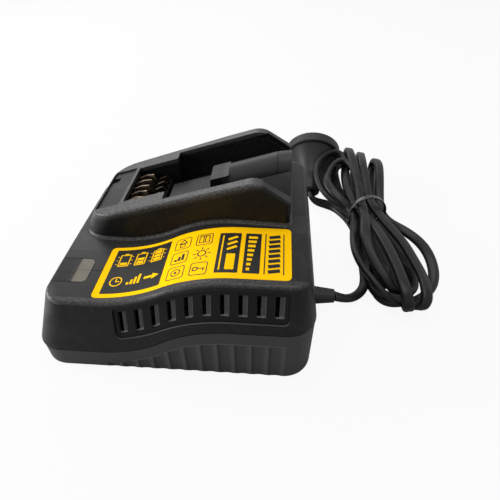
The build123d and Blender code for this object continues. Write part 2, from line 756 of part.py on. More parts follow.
core_x, core_y = core_place
core_length, core_depth, core_rise = core_size
transformer_core = box_on(core_place, core_size, board_top + 1.5)
core_window = (core_length - 3 * core_leg) / 2
for side in (-1, 1):
    window_x = core_x + side * (core_leg / 2 + core_window / 2)
    transformer_core -= Pos(window_x, core_y, board_top + 1.5 + core_rise / 2) * Box(
        core_window, 2 * core_depth, core_rise - 2 * core_leg)
winding_height = core_rise - 2 * core_leg
coil_face = RectangleRounded(core_leg + 2 * core_window - fit, core_depth + 2 * core_window, winding_radius)
coil_face -= Rectangle(core_leg, core_depth)
transformer_winding = Pos(core_x, core_y, board_top + 1.5 + core_leg) * extrude(coil_face, amount=winding_height)
bobbin_face = RectangleRounded(core_leg + 2 * core_window, core_depth + 2 * core_window + 3, 1)
bobbin_face -= Rectangle(core_length + 1, core_depth + fit)
transformer_winding += Pos(core_x, core_y, board_top) * extrude(bobbin_face, amount=1.5 + core_leg)

bulk_capacitor = column(*capacitor_place, capacitor_radius, board_top, board_top + capacitor_height)
bulk_capacitor = chamfer(bulk_capacitor.edges().sort_by(Axis.Z)[-1], 0.8)
crimp = Cylinder(capacitor_radius + 1, 1.4) - Cylinder(capacitor_radius - 0.5, 1.4)
bulk_capacitor -= Pos(*capacitor_place, board_top + 3.5) * crimp

filter_capacitor = box_on(filter_place, filter_size, board_top)
filter_capacitor = fillet(filter_capacitor.edges().filter_by(Axis.Z), 0.8)

choke_z = board_top + choke_radius + choke_wire
choke_ring = revolve(Plane.XZ * Pos(choke_radius, 0) * RegularPolygon(choke_wire, 8), Axis.Z)
mains_choke = Pos(*choke_place, choke_z) * Rotation(90, 0, 0) * choke_ring
foot_z = board_top + 1.2
mains_choke += Pos(*choke_place, foot_z) * Box(choke_radius * 2, choke_wire * 2, 2.4)

plate_length, plate_thickness, plate_rise = heatsink_size
heatsink = box_on(heatsink_place, heatsink_size, board_top)
for index in range(fin_count):
    fin_x = heatsink_place[0] - plate_length / 2 + 1 + index * (plate_length - 2) / (fin_count - 1)
    fin_y = heatsink_place[1] - plate_thickness / 2 - fin_depth / 2
    heatsink += box_on((fin_x, fin_y), (1.4, fin_depth, plate_rise), board_top)


def package(x):
    """Power package with its metal tab flat against the heatsink."""
    seat = heatsink_place[1] + plate_thickness / 2
    width, thickness, rise = package_size
    body = box_on((x, seat + thickness / 2), (width, thickness, 0.62 * rise), board_top + 3)
    tab = box_on((x, seat + tab_thickness / 2), (width, tab_thickness, rise), board_top + 3)
    hole = Pos(x, seat, board_top + 0.84 * rise + 3) * Rotation(90, 0, 0) * Cylinder(1.8, 4 * tab_thickness)
    part = body + tab - hole
    for offset in (-2.54, 0, 2.54):
        part += box_on((x + offset, seat + thickness / 2), (0.9, 0.6, 3.5), board_top)
    return part


power_transistor = package(heatsink_place[0] - 0.25 * plate_length)
output_rectifier = package(heatsink_place[0] + 0.25 * plate_length)

fuse_axis = Pos(*fuse_place, board_top + fuse_radius + 0.4) * Rotation(0, 90, 0)
fuse = fuse_axis * Cylinder(fuse_radius - 0.3, fuse_length)
for side in (-1, 1):
    cap_x = fuse_place[0] + side * (fuse_length - 5) / 2
    fuse += Pos(cap_x, fuse_place[1], board_top + fuse_radius + 0.4) * Rotation(0, 90, 0) * Cylinder(fuse_radius, 5)
    fuse += box_on((cap_x, fuse_place[1]), (2, 1.2, fuse_radius), board_top)

opto_coupler = box_on(opto_place, opto_size, board_top + 0.5)
controller_chip = box_on(chip_place, chip_size, board_top + 0.15)
for side in (-1, 1):
    for offset in (-1.27, 1.27):
        opto_coupler += box_on((opto_place[0] + offset, opto_place[1] + side * (opto_size[1] / 2 + 0.3)),
                               (0.6, 0.9, 1.8), board_top)
    for index in range(7):
        lead_x = chip_place[0] + (index - 3) * 1.27
        controller_chip += box_on((lead_x, chip_place[1] + side * (chip_size[1] / 2 + 0.3)),
                                  (0.45, 1.0, 0.8), board_top)


# ------------------------------------------------------------ screws
def pan_screw(x, y, seat, reach):
    """Screw driven upwards: its head bears on the underside at the seat level."""
    screw = column(x, y, screw_radius, seat - 0.5, seat + reach)
    head = column(x, y, head_radius, seat - head_height, seat)
    head = chamfer(head.edges().sort_by(Axis.Z)[0], 0.6)
    cross = box_on((x, y), (3.0, 0.8, 1.2), seat - head_height)
    cross += box_on((x, y), (0.8, 3.0, 1.2), seat - head_height)
    return screw + head - cross


housing_screws = []
for place in screw_places:
    seat = seam_z(place[0]) - well_roof
    housing_screws.append(pan_screw(*place, seat, well_roof + screw_reach))
board_screws = []
for place in (pillar_places[0], pillar_places[3]):
    screw = column(*place, screw_radius, wall + 0.5, board_top + 0.5)
    head = column(*place, head_radius, board_top, board_top + head_height)
    head = chamfer(head.edges().sort_by(Axis.Z)[-1], 0.6)
    head -= box_on(place, (3.0, 0.8, 1.2), board_top + head_height - 0.9)
    head -= box_on(place, (0.8, 3.0, 1.2), board_top + head_height - 0.9)
    board_screws.append(screw + head)

# ------------------------------------------------------------ cord grip: collar, neck in the wall, bead and taper
wall_in = exit_x - wall
collar_face = RectangleRounded(grip_width + 2 * collar_over, grip_height + 2 * collar_over, grip_height / 2)
tip_face = RectangleRounded(grip_tip_width, grip_tip_height, grip_tip_height / 2 - 0.4)
collar_plane = Plane(origin=(wall_in, cord_y, cord_z), x_dir=(0, 1, 0), z_dir=(1, 0, 0))
outside_plane = collar_plane.offset(wall)
cord_grip = extrude(collar_plane * collar_face, amount=-grip_inside)
cord_grip += extrude(collar_plane * grip_face, amount=wall)
bead_face = RectangleRounded(grip_width + 1.2, grip_height + 1.2, grip_height / 2)
cord_grip += loft([outside_plane * bead_face, outside_plane.offset(grip_outside) * tip_face], ruled=True)
cord_grip -= extrude(collar_plane.offset(-grip_inside) * Circle(cord_width / 2), amount=grip_inside + wall - 2)


# ------------------------------------------------------------ plug
axis = Vector(*plug_axis).normalized()
plug_plane = Plane(origin=plug_center, x_dir=Vector(axis.Y, -axis.X, 0), z_dir=axis)


def plug_form(grow):
    """Plug turned about its axis: rim, hollow flare, neck and sleeve."""
    rim = plug_radius + grow
    outline_edges = [
        Line((0, plug_rim + grow), (rim, plug_rim + grow)),
        Line((rim, plug_rim + grow), (rim, -plug_rim - grow)),
        Line((rim, -plug_rim - grow), (plug_back_radius + grow, -plug_rim - grow)),
        ThreePointArc(
            (plug_back_radius + grow, -plug_rim - grow),
            (0.42 * plug_back_radius + 0.58 * plug_neck_radius + grow, -plug_rim - 0.42 * (plug_neck - plug_rim)),
            (plug_neck_radius + grow, -plug_neck)),
        Line((plug_neck_radius + grow, -plug_neck), (plug_sleeve_radius + grow, -plug_sleeve)),
        Line((plug_sleeve_radius + grow, -plug_sleeve), (plug_tip_radius + grow, -plug_length - grow)),
        Line((plug_tip_radius + grow, -plug_length - grow), (0, -plug_length - grow)),
        Line((0, -plug_length - grow), (0, plug_rim + grow)),
    ]
    return revolve(Plane.XZ * make_face(outline_edges), Axis.Z)


plug_turned = plug_form(0)
rim_edges = plug_turned.edges().filter_by_position(Axis.Z, -plug_rim - 0.1, plug_rim + 0.1).filter_by(GeomType.CIRCLE)
plug_turned = fillet(rim_edges.sort_by(SortBy.RADIUS)[-2:], 1.2)
plug_turned = fillet(plug_turned.edges().sort_by(Axis.Z)[0], 1.6)
pins = []
for side in (-1, 1):
    place = Pos(side * pin_spacing / 2, 0, plug_rim) * Rotation(0, 0, -side * pin_tilt)
    blade = place * Pos(0, 0, pin_length / 2 - 2) * Box(pin_thickness, pin_width, pin_length + 4)
    blade = fillet(blade.edges().sort_by(Axis.Z)[-4:], 0.5)
    pins.append(plug_plane * blade)
    plug_turned -= place * Box(pin_thickness, pin_width, 8)
plug_body = plug_plane * plug_turned
plug_space = plug_plane * plug_form(plug_clearance)

# ------------------------------------------------------------ cord and hank
def section(y, x, half_width, z, half_height):
    return Plane.XZ.offset(-y) * Pos(x, z) * Ellipse(half_width, half_height)


lobes = loft([section(*values) for values in hank_sections], ruled=True)
tie_values = hank_sections[tie_section]
tie_face = section(tie_values[0] - tie_width / 2, tie_values[1], tie_values[2] + tie_thickness,
                   tie_values[3], tie_values[4] + tie_thickness)
cord_tie = extrude(tie_face, amount=-tie_width) - lobes
cord_hank = lobes - plug_space


def rounded_path(points):
    """Straight runs joined by arcs as large as their runs allow."""
    places = [Vector(*point) for point in points]
    radii = []
    for before, here, after in zip(places, places[1:], places[2:]):
        turn = math.radians((here - before).get_angle(after - here))
        shorter = min((here - before).length, (after - here).length)
        radii.append(0.45 * shorter / math.tan(turn / 2))
    print("radii", [round(radius, 1) for radius in radii])
    return FilletPolyline(*points, radius=radii)


def tube(points):
    path = rounded_path(points)
    start = Plane(origin=path @ 0, z_dir=path % 0)
    solid = sweep(start * Circle(tube_radius), path=path)
    print("tube volume", round(solid.volume), round(math.pi * tube_radius ** 2 * path.length), solid.is_valid)
    return solid


grip_tip = (exit_x + grip_outside, cord_y, cord_z)
power_cord = tube([grip_tip] + lead_points) - lobes - cord_grip
plug_tip = Vector(*plug_center) - axis * plug_length
plug_lead = tube([tuple(plug_tip)] + tail_points) - lobes - plug_body


def finish(shape, name):
    """Write one piece."""
    export_step(shape, "parts/" + name + ".step")


pieces = {
    "upper_housing": upper_housing,
    "lower_housing": lower_housing,
    "battery_cradle": cradle,
    "terminal_cover": terminal_cover,
    "terminal_block": terminal_block,
    "label": label,
    "led_lens": lens,
    "circuit_board": circuit_board,
    "transformer_core": transformer_core,
    "transformer_winding": transformer_winding,
    "bulk_capacitor": bulk_capacitor,
    "filter_capacitor": filter_capacitor,
    "mains_choke": mains_choke,
    "heatsink": heatsink,
    "power_transistor": power_transistor,
    "output_rectifier": output_rectifier,
    "fuse": fuse,
    "opto_coupler": opto_coupler,
    "controller_chip": controller_chip,
    "cord_grip": cord_grip,
    "plug_body": plug_body,
    "plug_pin_1": pins[0],
    "plug_pin_2": pins[1],
    "cord_hank": cord_hank,
    "cord_tie": cord_tie,
    "power_cord": power_cord,
    "plug_lead": plug_lead,
}
for number, blade in enumerate(contact_blades, 1):
    pieces[f"contact_blade_{number}"] = blade
for number, led in enumerate(status_leds, 1):
    pieces[f"status_led_{number}"] = led
for number, screw in enumerate(housing_screws, 1):
    pieces[f"housing_screw_{number}"] = screw
for number, screw in enumerate(board_screws, 1):
    pieces[f"board_screw_{number}"] = screw
for name, shape in pieces.items():
    finish(shape, name)
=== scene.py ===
# %% [markdown]
# # A power tool battery charger
#
# The charger is a dark moulded box with a sloping dock for the battery, a yellow label on its deck,
# a row of vents, and a flat mains cord tied up in a hank beside it. Its solid parts come from the
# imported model. This lesson adds what the solids leave out: the camera, the cord, the print on the
# label, small moulded details, the finishes and the light.

# %% Load the fixed frame
import math

import bmesh
import bpy
from mathutils import Matrix, Vector


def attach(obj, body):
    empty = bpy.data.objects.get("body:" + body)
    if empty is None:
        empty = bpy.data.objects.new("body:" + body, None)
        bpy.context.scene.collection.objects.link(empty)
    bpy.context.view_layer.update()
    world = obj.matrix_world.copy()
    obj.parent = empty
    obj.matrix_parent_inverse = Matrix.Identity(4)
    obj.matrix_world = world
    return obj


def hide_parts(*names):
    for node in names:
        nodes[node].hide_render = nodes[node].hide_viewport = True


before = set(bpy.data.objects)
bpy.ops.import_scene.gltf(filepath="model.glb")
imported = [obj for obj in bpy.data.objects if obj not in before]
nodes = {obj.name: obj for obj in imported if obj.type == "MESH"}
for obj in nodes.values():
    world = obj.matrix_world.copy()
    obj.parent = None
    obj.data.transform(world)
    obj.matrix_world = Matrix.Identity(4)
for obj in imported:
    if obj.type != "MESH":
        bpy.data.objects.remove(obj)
bpy.ops.object.select_all(action="DESELECT")
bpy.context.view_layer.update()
print("solid parts:", len(nodes))

# %% [markdown]
# ## The camera
#
# Everything on the charger is judged from one place, so the camera comes first. It stands in front
# of the vented wall, a little to the right of the middle, and looks down at the dock. A direction
# and an upward hint are easier to read than three angles, so the rotation is built from those.

# %% Place the camera
LENS_MM = 29.16
SENSOR_MM = 36.0
EYE = Vector((0.0466, -0.1684, 0.1824))
LOOK = Vector((-0.048, 0.746, -0.664)).normalized()
UP = Vector((-0.046, 0.663, 0.747))

side = LOOK.cross(UP).normalized()
true_up = side.cross(LOOK)
camera_data = bpy.data.cameras.new("view")
camera = bpy.data.objects.new("view", camera_data)
bpy.context.scene.collection.objects.link(camera)
camera.matrix_world = Matrix.Translation(EYE) @ Matrix((side, true_up, -LOOK)).transposed().to_4x4()
camera_data.lens = LENS_MM
camera_data.sensor_width = SENSOR_MM
camera_data.clip_start = 0.005
bpy.context.scene.camera = camera
print("camera at", tuple(round(value, 3) for value in EYE))

# %% [markdown]
# ## The route of the cord
#
# A hank is one long cord, so it is drawn as one spline. The route below is written in millimetres,
# turn by turn: up the left side of the bundle, round a far loop, back down on the right and round a
# near loop. Where a fold stands on edge, the height changes instead of the direction.

# %% Write down the route
ROUTE = [
    (84.7, -9.0, 8.3),
    # lead from the housing
    (91.2, -8.6, 5.6), (98.1, -4.6, 3.4), (103.6, 1.7, 3.4), (106.3, 10.5, 3.6), (107.0, 22.5, 3.8),
    # turn 1, up on the left and round the right-hand far loop
    (107.6, 38.5, 4.2), (110.4, 55.1, 4.6), (121.0, 73.3, 5.2), (121.0, 90.4, 7.0), (124.4, 110.8, 8.5),
    (126.6, 125.0, 9.2), (127.4, 132.2, 11.2), (128.2, 132.4, 18.0), (128.8, 126.6, 21.0),
    (129.2, 117.6, 21.4), (127.0, 101.4, 19.5), (125.2, 86.1, 14.5), (124.6, 74.0, 9.6), (129.0, 63.8, 7.6),
    (139.8, 54.6, 7.4), (147.5, 43.5, 6.6), (150.3, 31.2, 5.6), (149.6, 17.7, 4.5), (145.9, 7.1, 3.6),
    (139.2, -1.1, 3.4), (130.1, -6.3, 3.4), (119.8, -9.0, 3.4), (112.5, -6.0, 3.4), (108.3, 3.3, 3.8),
    # turn 2
    (106.0, 12.5, 7.8), (106.0, 31.0, 8.5), (107.3, 50.0, 8.8), (109.6, 69.1, 8.4), (108.9, 87.4, 9.0),
    (109.4, 109.8, 9.5), (112.4, 125.6, 9.8), (115.0, 134.8, 12.4), (116.2, 135.8, 19.2),
    (115.8, 130.4, 24.8), (114.4, 121.0, 27.6), (113.5, 105.5, 28.0), (113.8, 91.9, 23.5),
    (114.9, 76.8, 18.6),
    (119.0, 61.8, 17.4), (125.4, 45.4, 16.8), (130.9, 30.5, 16.5), (134.0, 15.6, 15.5),
    (136.2, 3.0, 15.0), (135.8, -6.2, 14.6), (135.2, -12.2, 13.0), (133.8, -14.4, 9.2),
    (130.4, -13.0, 6.8), (125.2, -9.4, 7.0), (118.5, -10.2, 9.0), (111.4, -7.5, 12.0),
    # turn 3, over the plug neck
    (106.5, -1.2, 14.5), (101.8, 7.7, 16.0), (99.4, 18.6, 16.5), (99.9, 31.0, 16.3), (102.0, 43.0, 15.6),
    (103.6, 53.0, 14.6), (104.8, 61.0, 13.2), (103.0, 67.6, 12.0), (97.2, 72.6, 12.4),
    (89.4, 78.8, 14.8), (82.6, 87.5, 18.4), (79.2, 97.6, 22.8), (80.2, 108.5, 27.0),
    (86.4, 117.9, 29.2), (93.4, 122.6, 29.2), (98.8, 121.4, 28.0), (101.6, 115.6, 26.2),
    (101.5, 109.8, 24.5), (100.3, 95.8, 21.5), (102.2, 82.4, 18.0), (107.4, 67.9, 15.6),
    (112.4, 53.3, 17.0), (116.2, 35.0, 19.8),
    (119.4, 16.7, 20.0), (121.2, 1.7, 19.5), (121.9, -9.0, 18.9), (122.8, -14.6, 16.9),
    (124.2, -17.2, 12.4), (125.5, -15.8, 7.8), (126.7, -10.7, 4.6),
    # turn 4
    (126.8, 0.3, 3.4), (125.1, 12.3, 3.4), (123.8, 27.6, 3.4), (120.6, 44.2, 3.6), (118.8, 56.4, 4.0),
    (114.4, 64.8, 6.0), (106.6, 68.4, 10.0), (100.8, 71.2, 14.4), (95.2, 75.4, 18.0),
    (89.2, 81.9, 20.8), (85.2, 90.5, 23.4), (88.0, 101.0, 25.8), (92.6, 108.2, 28.2),
    (98.0, 110.0, 29.5), (102.7, 107.0, 29.5), (105.8, 98.5, 28.0),
    (108.3, 85.7, 24.6), (109.0, 72.1, 18.8), (109.4, 58.7, 19.4), (107.9, 45.5, 21.0),
    (106.2, 34.4, 20.5), (107.1, 24.0, 18.0), (110.2, 13.3, 15.0), (116.0, 4.5, 11.5),
    (119.9, -0.9, 8.0),
    # turn 5
    (127.0, -2.9, 5.0), (133.6, 1.8, 3.6), (136.3, 14.2, 3.4), (133.8, 29.6, 3.4), (130.7, 45.5, 3.6),
    (124.2, 60.8, 4.6), (116.0, 68.4, 7.4), (106.8, 74.4, 9.4), (99.8, 83.8, 10.6), (96.8, 95.2, 11.6),
    (95.5, 108.7, 12.6), (95.4, 122.2, 13.8), (103.0, 130.0, 16.0), (105.4, 132.6, 21.4),
    (105.4, 130.6, 27.2), (104.9, 124.0, 31.2), (104.9, 111.8, 32.4), (106.3, 97.8, 29.6),
    (108.2, 86.2, 24.0),
    (110.2, 75.2, 15.6), (111.2, 65.8, 12.4), (112.4, 53.3, 10.5), (114.4, 38.6, 8.0), (117.7, 26.4, 6.6),
    (119.4, 18.0, 5.0), (119.4, 10.8, 4.2), (118.0, 6.2, 3.6), (113.8, 7.6, 3.4), (111.8, 14.2, 3.4),
    # tail to the plug
    (110.8, 25.4, 3.4), (108.8, 40.9, 3.4), (106.6, 57.5, 3.4), (103.6, 70.0, 3.4), (99.2, 78.6, 3.4),
    (94.4, 85.4, 3.4), (88.0, 89.2, 3.4), (81.2, 91.2, 3.9), (76.6, 93.9, 6.0), (76.1, 97.6, 7.9),
]
CORD_WIDTH = 0.0066
CORD_THICKNESS = 0.0042
print("route points:", len(ROUTE))

# %% [markdown]
# A NURBS spline of order 3 passes close to its points and never swings wide of them, which is how a
# springy cord lies. The order and the endpoint setting are set after the points, or Blender falls
# back to straight runs.

# %% Draw the spline and read its line
route_data = bpy.data.curves.new("cord_route", "CURVE")
route_data.dimensions = "3D"
route_data.resolution_u = 10
spline = route_data.splines.new("NURBS")
spline.points.add(len(ROUTE) - 1)
for point, place in zip(spline.points, ROUTE):
    point.co = (*(value / 1000 for value in place), 1)
spline.order_u = 3
spline.use_endpoint_u = True
route = bpy.data.objects.new("cord_route", route_data)
bpy.context.scene.collection.objects.link(route)
bpy.context.view_layer.update()
evaluated_route = route.evaluated_get(bpy.context.evaluated_depsgraph_get())
line_mesh = bpy.data.meshes.new_from_object(evaluated_route)
line = [vertex.co.copy() for vertex in line_mesh.vertices]
# the spline repeats a few of its points, and a doubled point has no direction
SAME_PLACE = 0.00001
line = [place for place, after in zip(line, line[1:]) if (after - place).length > SAME_PLACE] + line[-1:]
cord_length = sum((b - a).length for a, b in zip(line, line[1:]))
bpy.data.objects.remove(route)
print("cord length in metres:", round(cord_length, 3))

# %% [markdown]
# The cord is flat, so a round bevel would be wrong. A flat section with a shallow waist between the
# two cores is carried along the line instead.

# %% Draw the section of the cord
SECTION_POINTS = 20
WAIST_DEPTH = 0.10
WAIST_REACH = 0.0009
FLAT_SHARE = 2.2        # how soon the round sides pass into the flat ones


def flat_section(count):
    """Rounded outline of the cord, with a shallow waist between its cores."""
    ring = []
    straight = (CORD_WIDTH - CORD_THICKNESS) / 2
    for index in range(count):
        turn = 2 * math.pi * index / count
        to_side = 1 if math.cos(turn) > 0 else -1
        across = straight * to_side * min(1, abs(math.cos(turn)) * FLAT_SHARE)
        across += CORD_THICKNESS / 2 * math.cos(turn)
        waist = 1 - WAIST_DEPTH * math.exp(-((across / WAIST_REACH) ** 2))
        ring.append((across, CORD_THICKNESS / 2 * math.sin(turn) * waist))
    return ring


print("points round the cord:", len(flat_section(SECTION_POINTS)))

# %% [markdown]
# A flat cord bends over its thin side: in a sharp turn its flat side faces the middle of the turn,
# and on a straight stretch it lies flat on what is under it. So the bends of the line come first. A
# bend is a vector that points to the middle of the turn and is one over its radius long. Taken over
# a few points on each side, it changes calmly along the line.

# %% Measure the bends of the line
def bends(path, reach=8):
    """Bend at each point, as a vector to the middle of the turn, one over the radius long."""
    sharp = [Vector()]
    for before, place, after in zip(path, path[1:], path[2:]):
        turn = (after - place).normalized() - (place - before).normalized()
        sharp.append(turn * (2 / (after - before).length))
    sharp.append(Vector())
    calm = []
    for index in range(len(sharp)):
        near = sharp[max(0, index - reach):index + reach + 1]
        calm.append(sum(near, Vector()) / len(near))
    return calm


print("tightest bend in mm:", round(1000 / max(bend.length for bend in bends(line, 2)), 1))

# %% [markdown]
# At each point the section is drawn a little way towards the side that the bend and its own weight
# ask for, so that it turns slowly. The rings of points are then joined by faces, and a UV map counts
# the way along the cord for its jacket to follow.

# %% Carry the section along the line
LIE_FLAT = Vector((0, 0, 30))   # draws the flat side down as strongly as a bend of 33 mm radius
SLACK = 5                       # below this pull the section keeps the turn that it has
SETTLE = 0.12                   # share of the way that it turns from one point to the next
UV_PER_METRE = 10


def frames_along(path):
    """At each point of a path, the directions across a flat cord and out of its flat side."""
    normal = Vector((0, 0, 1))
    turns = bends(path)
    frames = []
    for index in range(len(path)):
        before = path[max(index - 1, 0)]
        after = path[min(index + 1, len(path) - 1)]
        tangent = (after - before).normalized()
        normal = (normal - tangent * normal.dot(tangent)).normalized()
        wish = Vector()
        for pull in (turns[index], LIE_FLAT):
            wish += pull if pull.dot(normal) > 0 else -pull
        wish -= tangent * wish.dot(tangent)
        if wish.length > SLACK:
            normal = normal.lerp(wish.normalized(), SETTLE).normalized()
        frames.append((tangent.cross(normal), normal.copy()))
    return frames


def swept(name, path, ring):
    """Mesh of a closed ring carried along a path as a flat cord lies, closed at both ends."""
    mesh = bmesh.new()
    layer = mesh.loops.layers.uv.new("along")
    rings = []
    for place, (across, normal) in zip(path, frames_along(path)):
        rings.append([mesh.verts.new(place + across * u + normal * v) for u, v in ring])
    marks = [0.0]
    for before, place in zip(path, path[1:]):
        marks.append(marks[-1] + (place - before).length)
    count = len(ring)
    for row, (first, second) in enumerate(zip(rings, rings[1:])):
        for column in range(count):
            other = (column + 1) % count
            face = mesh.faces.new((first[column], first[other], second[other], second[column]))
            corners = ((column, row), (column + 1, row), (column + 1, row + 1), (column, row + 1))
            for loop, (step, mark) in zip(face.loops, corners):
                loop[layer].uv = (step / count, marks[mark] * UV_PER_METRE)
            face.smooth = True
    mesh.faces.new(rings[0][::-1])
    mesh.faces.new(rings[-1])
    bmesh.ops.recalc_face_normals(mesh, faces=mesh.faces)
    data = bpy.data.meshes.new(name)
    mesh.to_mesh(data)
    mesh.free()
    piece = bpy.data.objects.new(name, data)
    bpy.context.scene.collection.objects.link(piece)
    return piece


cord = swept("mains_cord", line, flat_section(SECTION_POINTS))
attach(cord, "root")
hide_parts("power_cord", "plug_lead", "cord_hank")
print("cord faces:", len(cord.data.polygons))

# %% [markdown]
# ## Shader maths as plain expressions
#
# A finish is a small network of nodes. Written out one by one, its sums are hard to read, so one
# class wraps a socket and adds the Math nodes for +, -, * and comparisons. Every other node comes
# from one method of the tree, which sets the node's options first and its sockets after.

# %% Wrap sockets
class Wire:
    """A socket that can be used in sums."""

    def __init__(self, tree, socket):
        self.tree = tree
        self.socket = socket

    def maths(self, operation, *others):
        sockets = dict(enumerate((self, *others)))
        return self.tree.add("ShaderNodeMath", {"operation": operation}, sockets)

    def beside(self, output):
        """Another output of the same node."""
        return Wire(self.tree, self.socket.node.outputs[output])

    def __add__(self, other):
        return self.maths("ADD", other)

    __radd__ = __add__

    def __mul__(self, other):
        return self.maths("MULTIPLY", other)

    __rmul__ = __mul__

    def __sub__(self, other):
        return self.maths("SUBTRACT", other)

    def __rsub__(self, other):
        return self.maths("MULTIPLY", -1.0).maths("ADD", other)

    def __truediv__(self, other):
        return self.maths("DIVIDE", other)

    def __gt__(self, other):
        return self.maths("GREATER_THAN", other)

    def __lt__(self, other):
        return self.maths("LESS_THAN", other)


class Tree:
    """The nodes of a material or of the world."""

    def __init__(self, owner):
        owner.use_nodes = True
        self.nodes = owner.node_tree.nodes
        self.links = owner.node_tree.links
        self.nodes.clear()

    def fill(self, node, sockets):
        """Give each socket its value or its link."""
        for key, value in sockets.items():
            if isinstance(value, Wire):
                self.links.new(value.socket, node.inputs[key])
            else:
                node.inputs[key].default_value = value

    def add(self, kind, settings=None, sockets=None, out=0):
        """Add a node: options first, then values or links of its sockets."""
        node = self.nodes.new(kind)
        for key, value in (settings or {}).items():
            setattr(node, key, value)
        self.fill(node, sockets or {})
        return Wire(self, node.outputs[out]) if node.outputs else node


# %% Build finishes
MIX_FACTOR, MIX_A, MIX_B, MIX_RESULT = 0, 6, 7, 2   # the colour sockets of a Mix node


def opaque(colour):
    """A wire as it is, or a colour with its fourth value."""
    return colour if isinstance(colour, Wire) else (*colour, 1.0)


class Finish(Tree):
    """One material with its nodes."""

    def __init__(self, name):
        self.material = bpy.data.materials.new(name)
        super().__init__(self.material)
        self.place = self.add("ShaderNodeTexCoord", out="Object")

    def noise(self, scale, detail=2.0, rough=0.5, place=None):
        sockets = {"Vector": place or self.place, "Scale": scale, "Detail": detail, "Roughness": rough}
        return self.add("ShaderNodeTexNoise", None, sockets, "Fac")

    def step(self, value, low, high):
        """0 below low, 1 above high, smooth between."""
        sockets = {"Value": value, "From Min": low, "From Max": high}
        return self.add("ShaderNodeMapRange", {"interpolation_type": "SMOOTHSTEP"}, sockets)

    def stretched(self, scale, turn=(0, 0, 0)):
        sockets = {"Vector": self.place, "Rotation": turn, "Scale": scale}
        return self.add("ShaderNodeMapping", None, sockets)

    def mix(self, factor, first, second):
        sockets = {MIX_FACTOR: factor, MIX_A: opaque(first), MIX_B: opaque(second)}
        return self.add("ShaderNodeMix", {"data_type": "RGBA"}, sockets, MIX_RESULT)

    def bump(self, height, distance, strength=1.0, under=None):
        sockets = {"Height": height, "Distance": distance, "Strength": strength}
        if under:
            sockets["Normal"] = under
        return self.add("ShaderNodeBump", None, sockets)

    def surface(self, **sockets):
        """Close the finish with one Principled shader."""
        named = {key.replace("_", " "): value for key, value in sockets.items()}
        shader = self.add("ShaderNodeBsdfPrincipled", None, named)
        self.add("ShaderNodeOutputMaterial", None, {"Surface": shader})
        return self.material


def wear(material, *names):
    """Give a finish to CAD nodes by name."""
    for name in names:
        materials = nodes[name].data.materials
        materials.clear()
        materials.append(material)


print("colour sockets of a Mix node:", MIX_A, MIX_B)

# %% [markdown]
# ## Moulded housing
#
# The two halves are black ABS with a fine spark-eroded grain. The grain scatters the light, so it
# goes in the bump, and handling has polished it in patches, so the roughness wanders. A few pale
# scuffs and specks of dust sit on top.
#
# The halves meet along an S, two arcs between two levels. The same arcs, written as shader maths,
# give the height of that joint at any place, so a hairline of shadow can follow it exactly. The
# deck is a second S above it, and the sills of the vents are a third between them.

# %% The S lines as shader maths
# start and height of the lower level, then start and height of the upper one
SEAM = (-0.035, 0.0131, 0.030, 0.0338)
DECK = (-0.037, 0.0398, 0.032, 0.0575)
SILL = (-0.035, 0.0229, 0.030, 0.0413)


def s_line(x, start, low, finish, high):
    """Height of an S of two arcs at x, level before its start and after its finish."""
    run = finish - start
    rise = high - low
    radius = (run * run + rise * rise) / (4 * rise)
    inside = x.maths("MAXIMUM", start).maths("MINIMUM", finish)
    near = inside - start
    away = inside - finish
    first = low + radius - (radius * radius - near * near).maths("SQRT")
    second = (radius * radius - away * away).maths("SQRT") + (high - radius)
    return first + (second - first) * (inside > (start + finish) / 2)


def axes_of(finish):
    """The three object coordinates as separate wires."""
    x = finish.add("ShaderNodeSeparateXYZ", None, {"Vector": finish.place}, "X")
    return x, x.beside("Y"), x.beside("Z")


def between(value, low, high):
    """1 where a value lies between two others."""
    return (value > low) * (value < high)


print("rise of the joint in mm:", round((SEAM[3] - SEAM[1]) * 1000, 1))

# %% [markdown]
# Each half has marks of its own on top of the plain moulding. Both have the hairline of the joint.
# The lower half has flutes along its front: one side of each is painted dark as shade, the other is
# painted pale as light, and a pale line follows the S above them.

# %% Marks of the joint and of the lower half
SHADOW = (0.0004, 0.0004, 0.0004)
HAIRLINE = 0.00042
FLUTE_PITCH = 0.0081
FIRST_FLUTE = -0.0326
LAST_FLUTE = 0.0565
FLUTED_FRONT = -0.0520


def joint_marks(finish, tone, rough, x, z):
    """The height above the joint, and tone and roughness with the hairline in them."""
    above = z - s_line(x, *SEAM)
    hairline = (above + 0.0001).maths("ABSOLUTE") < HAIRLINE
    return above, finish.mix(hairline, tone, SHADOW), rough + hairline * 0.5


def lower_marks(finish, tone, rough, x, y, z):
    """Painted shade and painted light on the two sides of each flute, and the pale line along them."""
    above, tone, rough = joint_marks(finish, tone, rough, x, z)
    front = y < FLUTED_FRONT
    across = (x - FIRST_FLUTE).maths("MODULO", FLUTE_PITCH)
    fluted = (above < -0.0090) * front * between(x, FIRST_FLUTE, LAST_FLUTE)
    # painted shade on the left side of each flute and painted light on its right, as light from the left
    # falls
    flute_painted_shade = finish.step(across, 0.0020, 0.0004) * (across > 0.0003)
    flute_painted_light = finish.step(across, 0.0048, 0.0074) * (across < 0.0079) * (finish.noise(700, 3.0, 0.7) + 0.2)
    brim = ((above + 0.0086).maths("ABSOLUTE") < 0.0004) * front * between(x, -0.0200, LAST_FLUTE)
    tone = finish.mix(fluted * flute_painted_shade * 0.75, tone, (0.006, 0.006, 0.006))
    tone = finish.mix(fluted * flute_painted_light * 0.6, tone, (0.085, 0.085, 0.086))
    tone = finish.mix(brim * 0.5, tone, (0.095, 0.095, 0.096))
    return tone, rough, above


print("flutes:", round((LAST_FLUTE - FIRST_FLUTE) / FLUTE_PITCH))
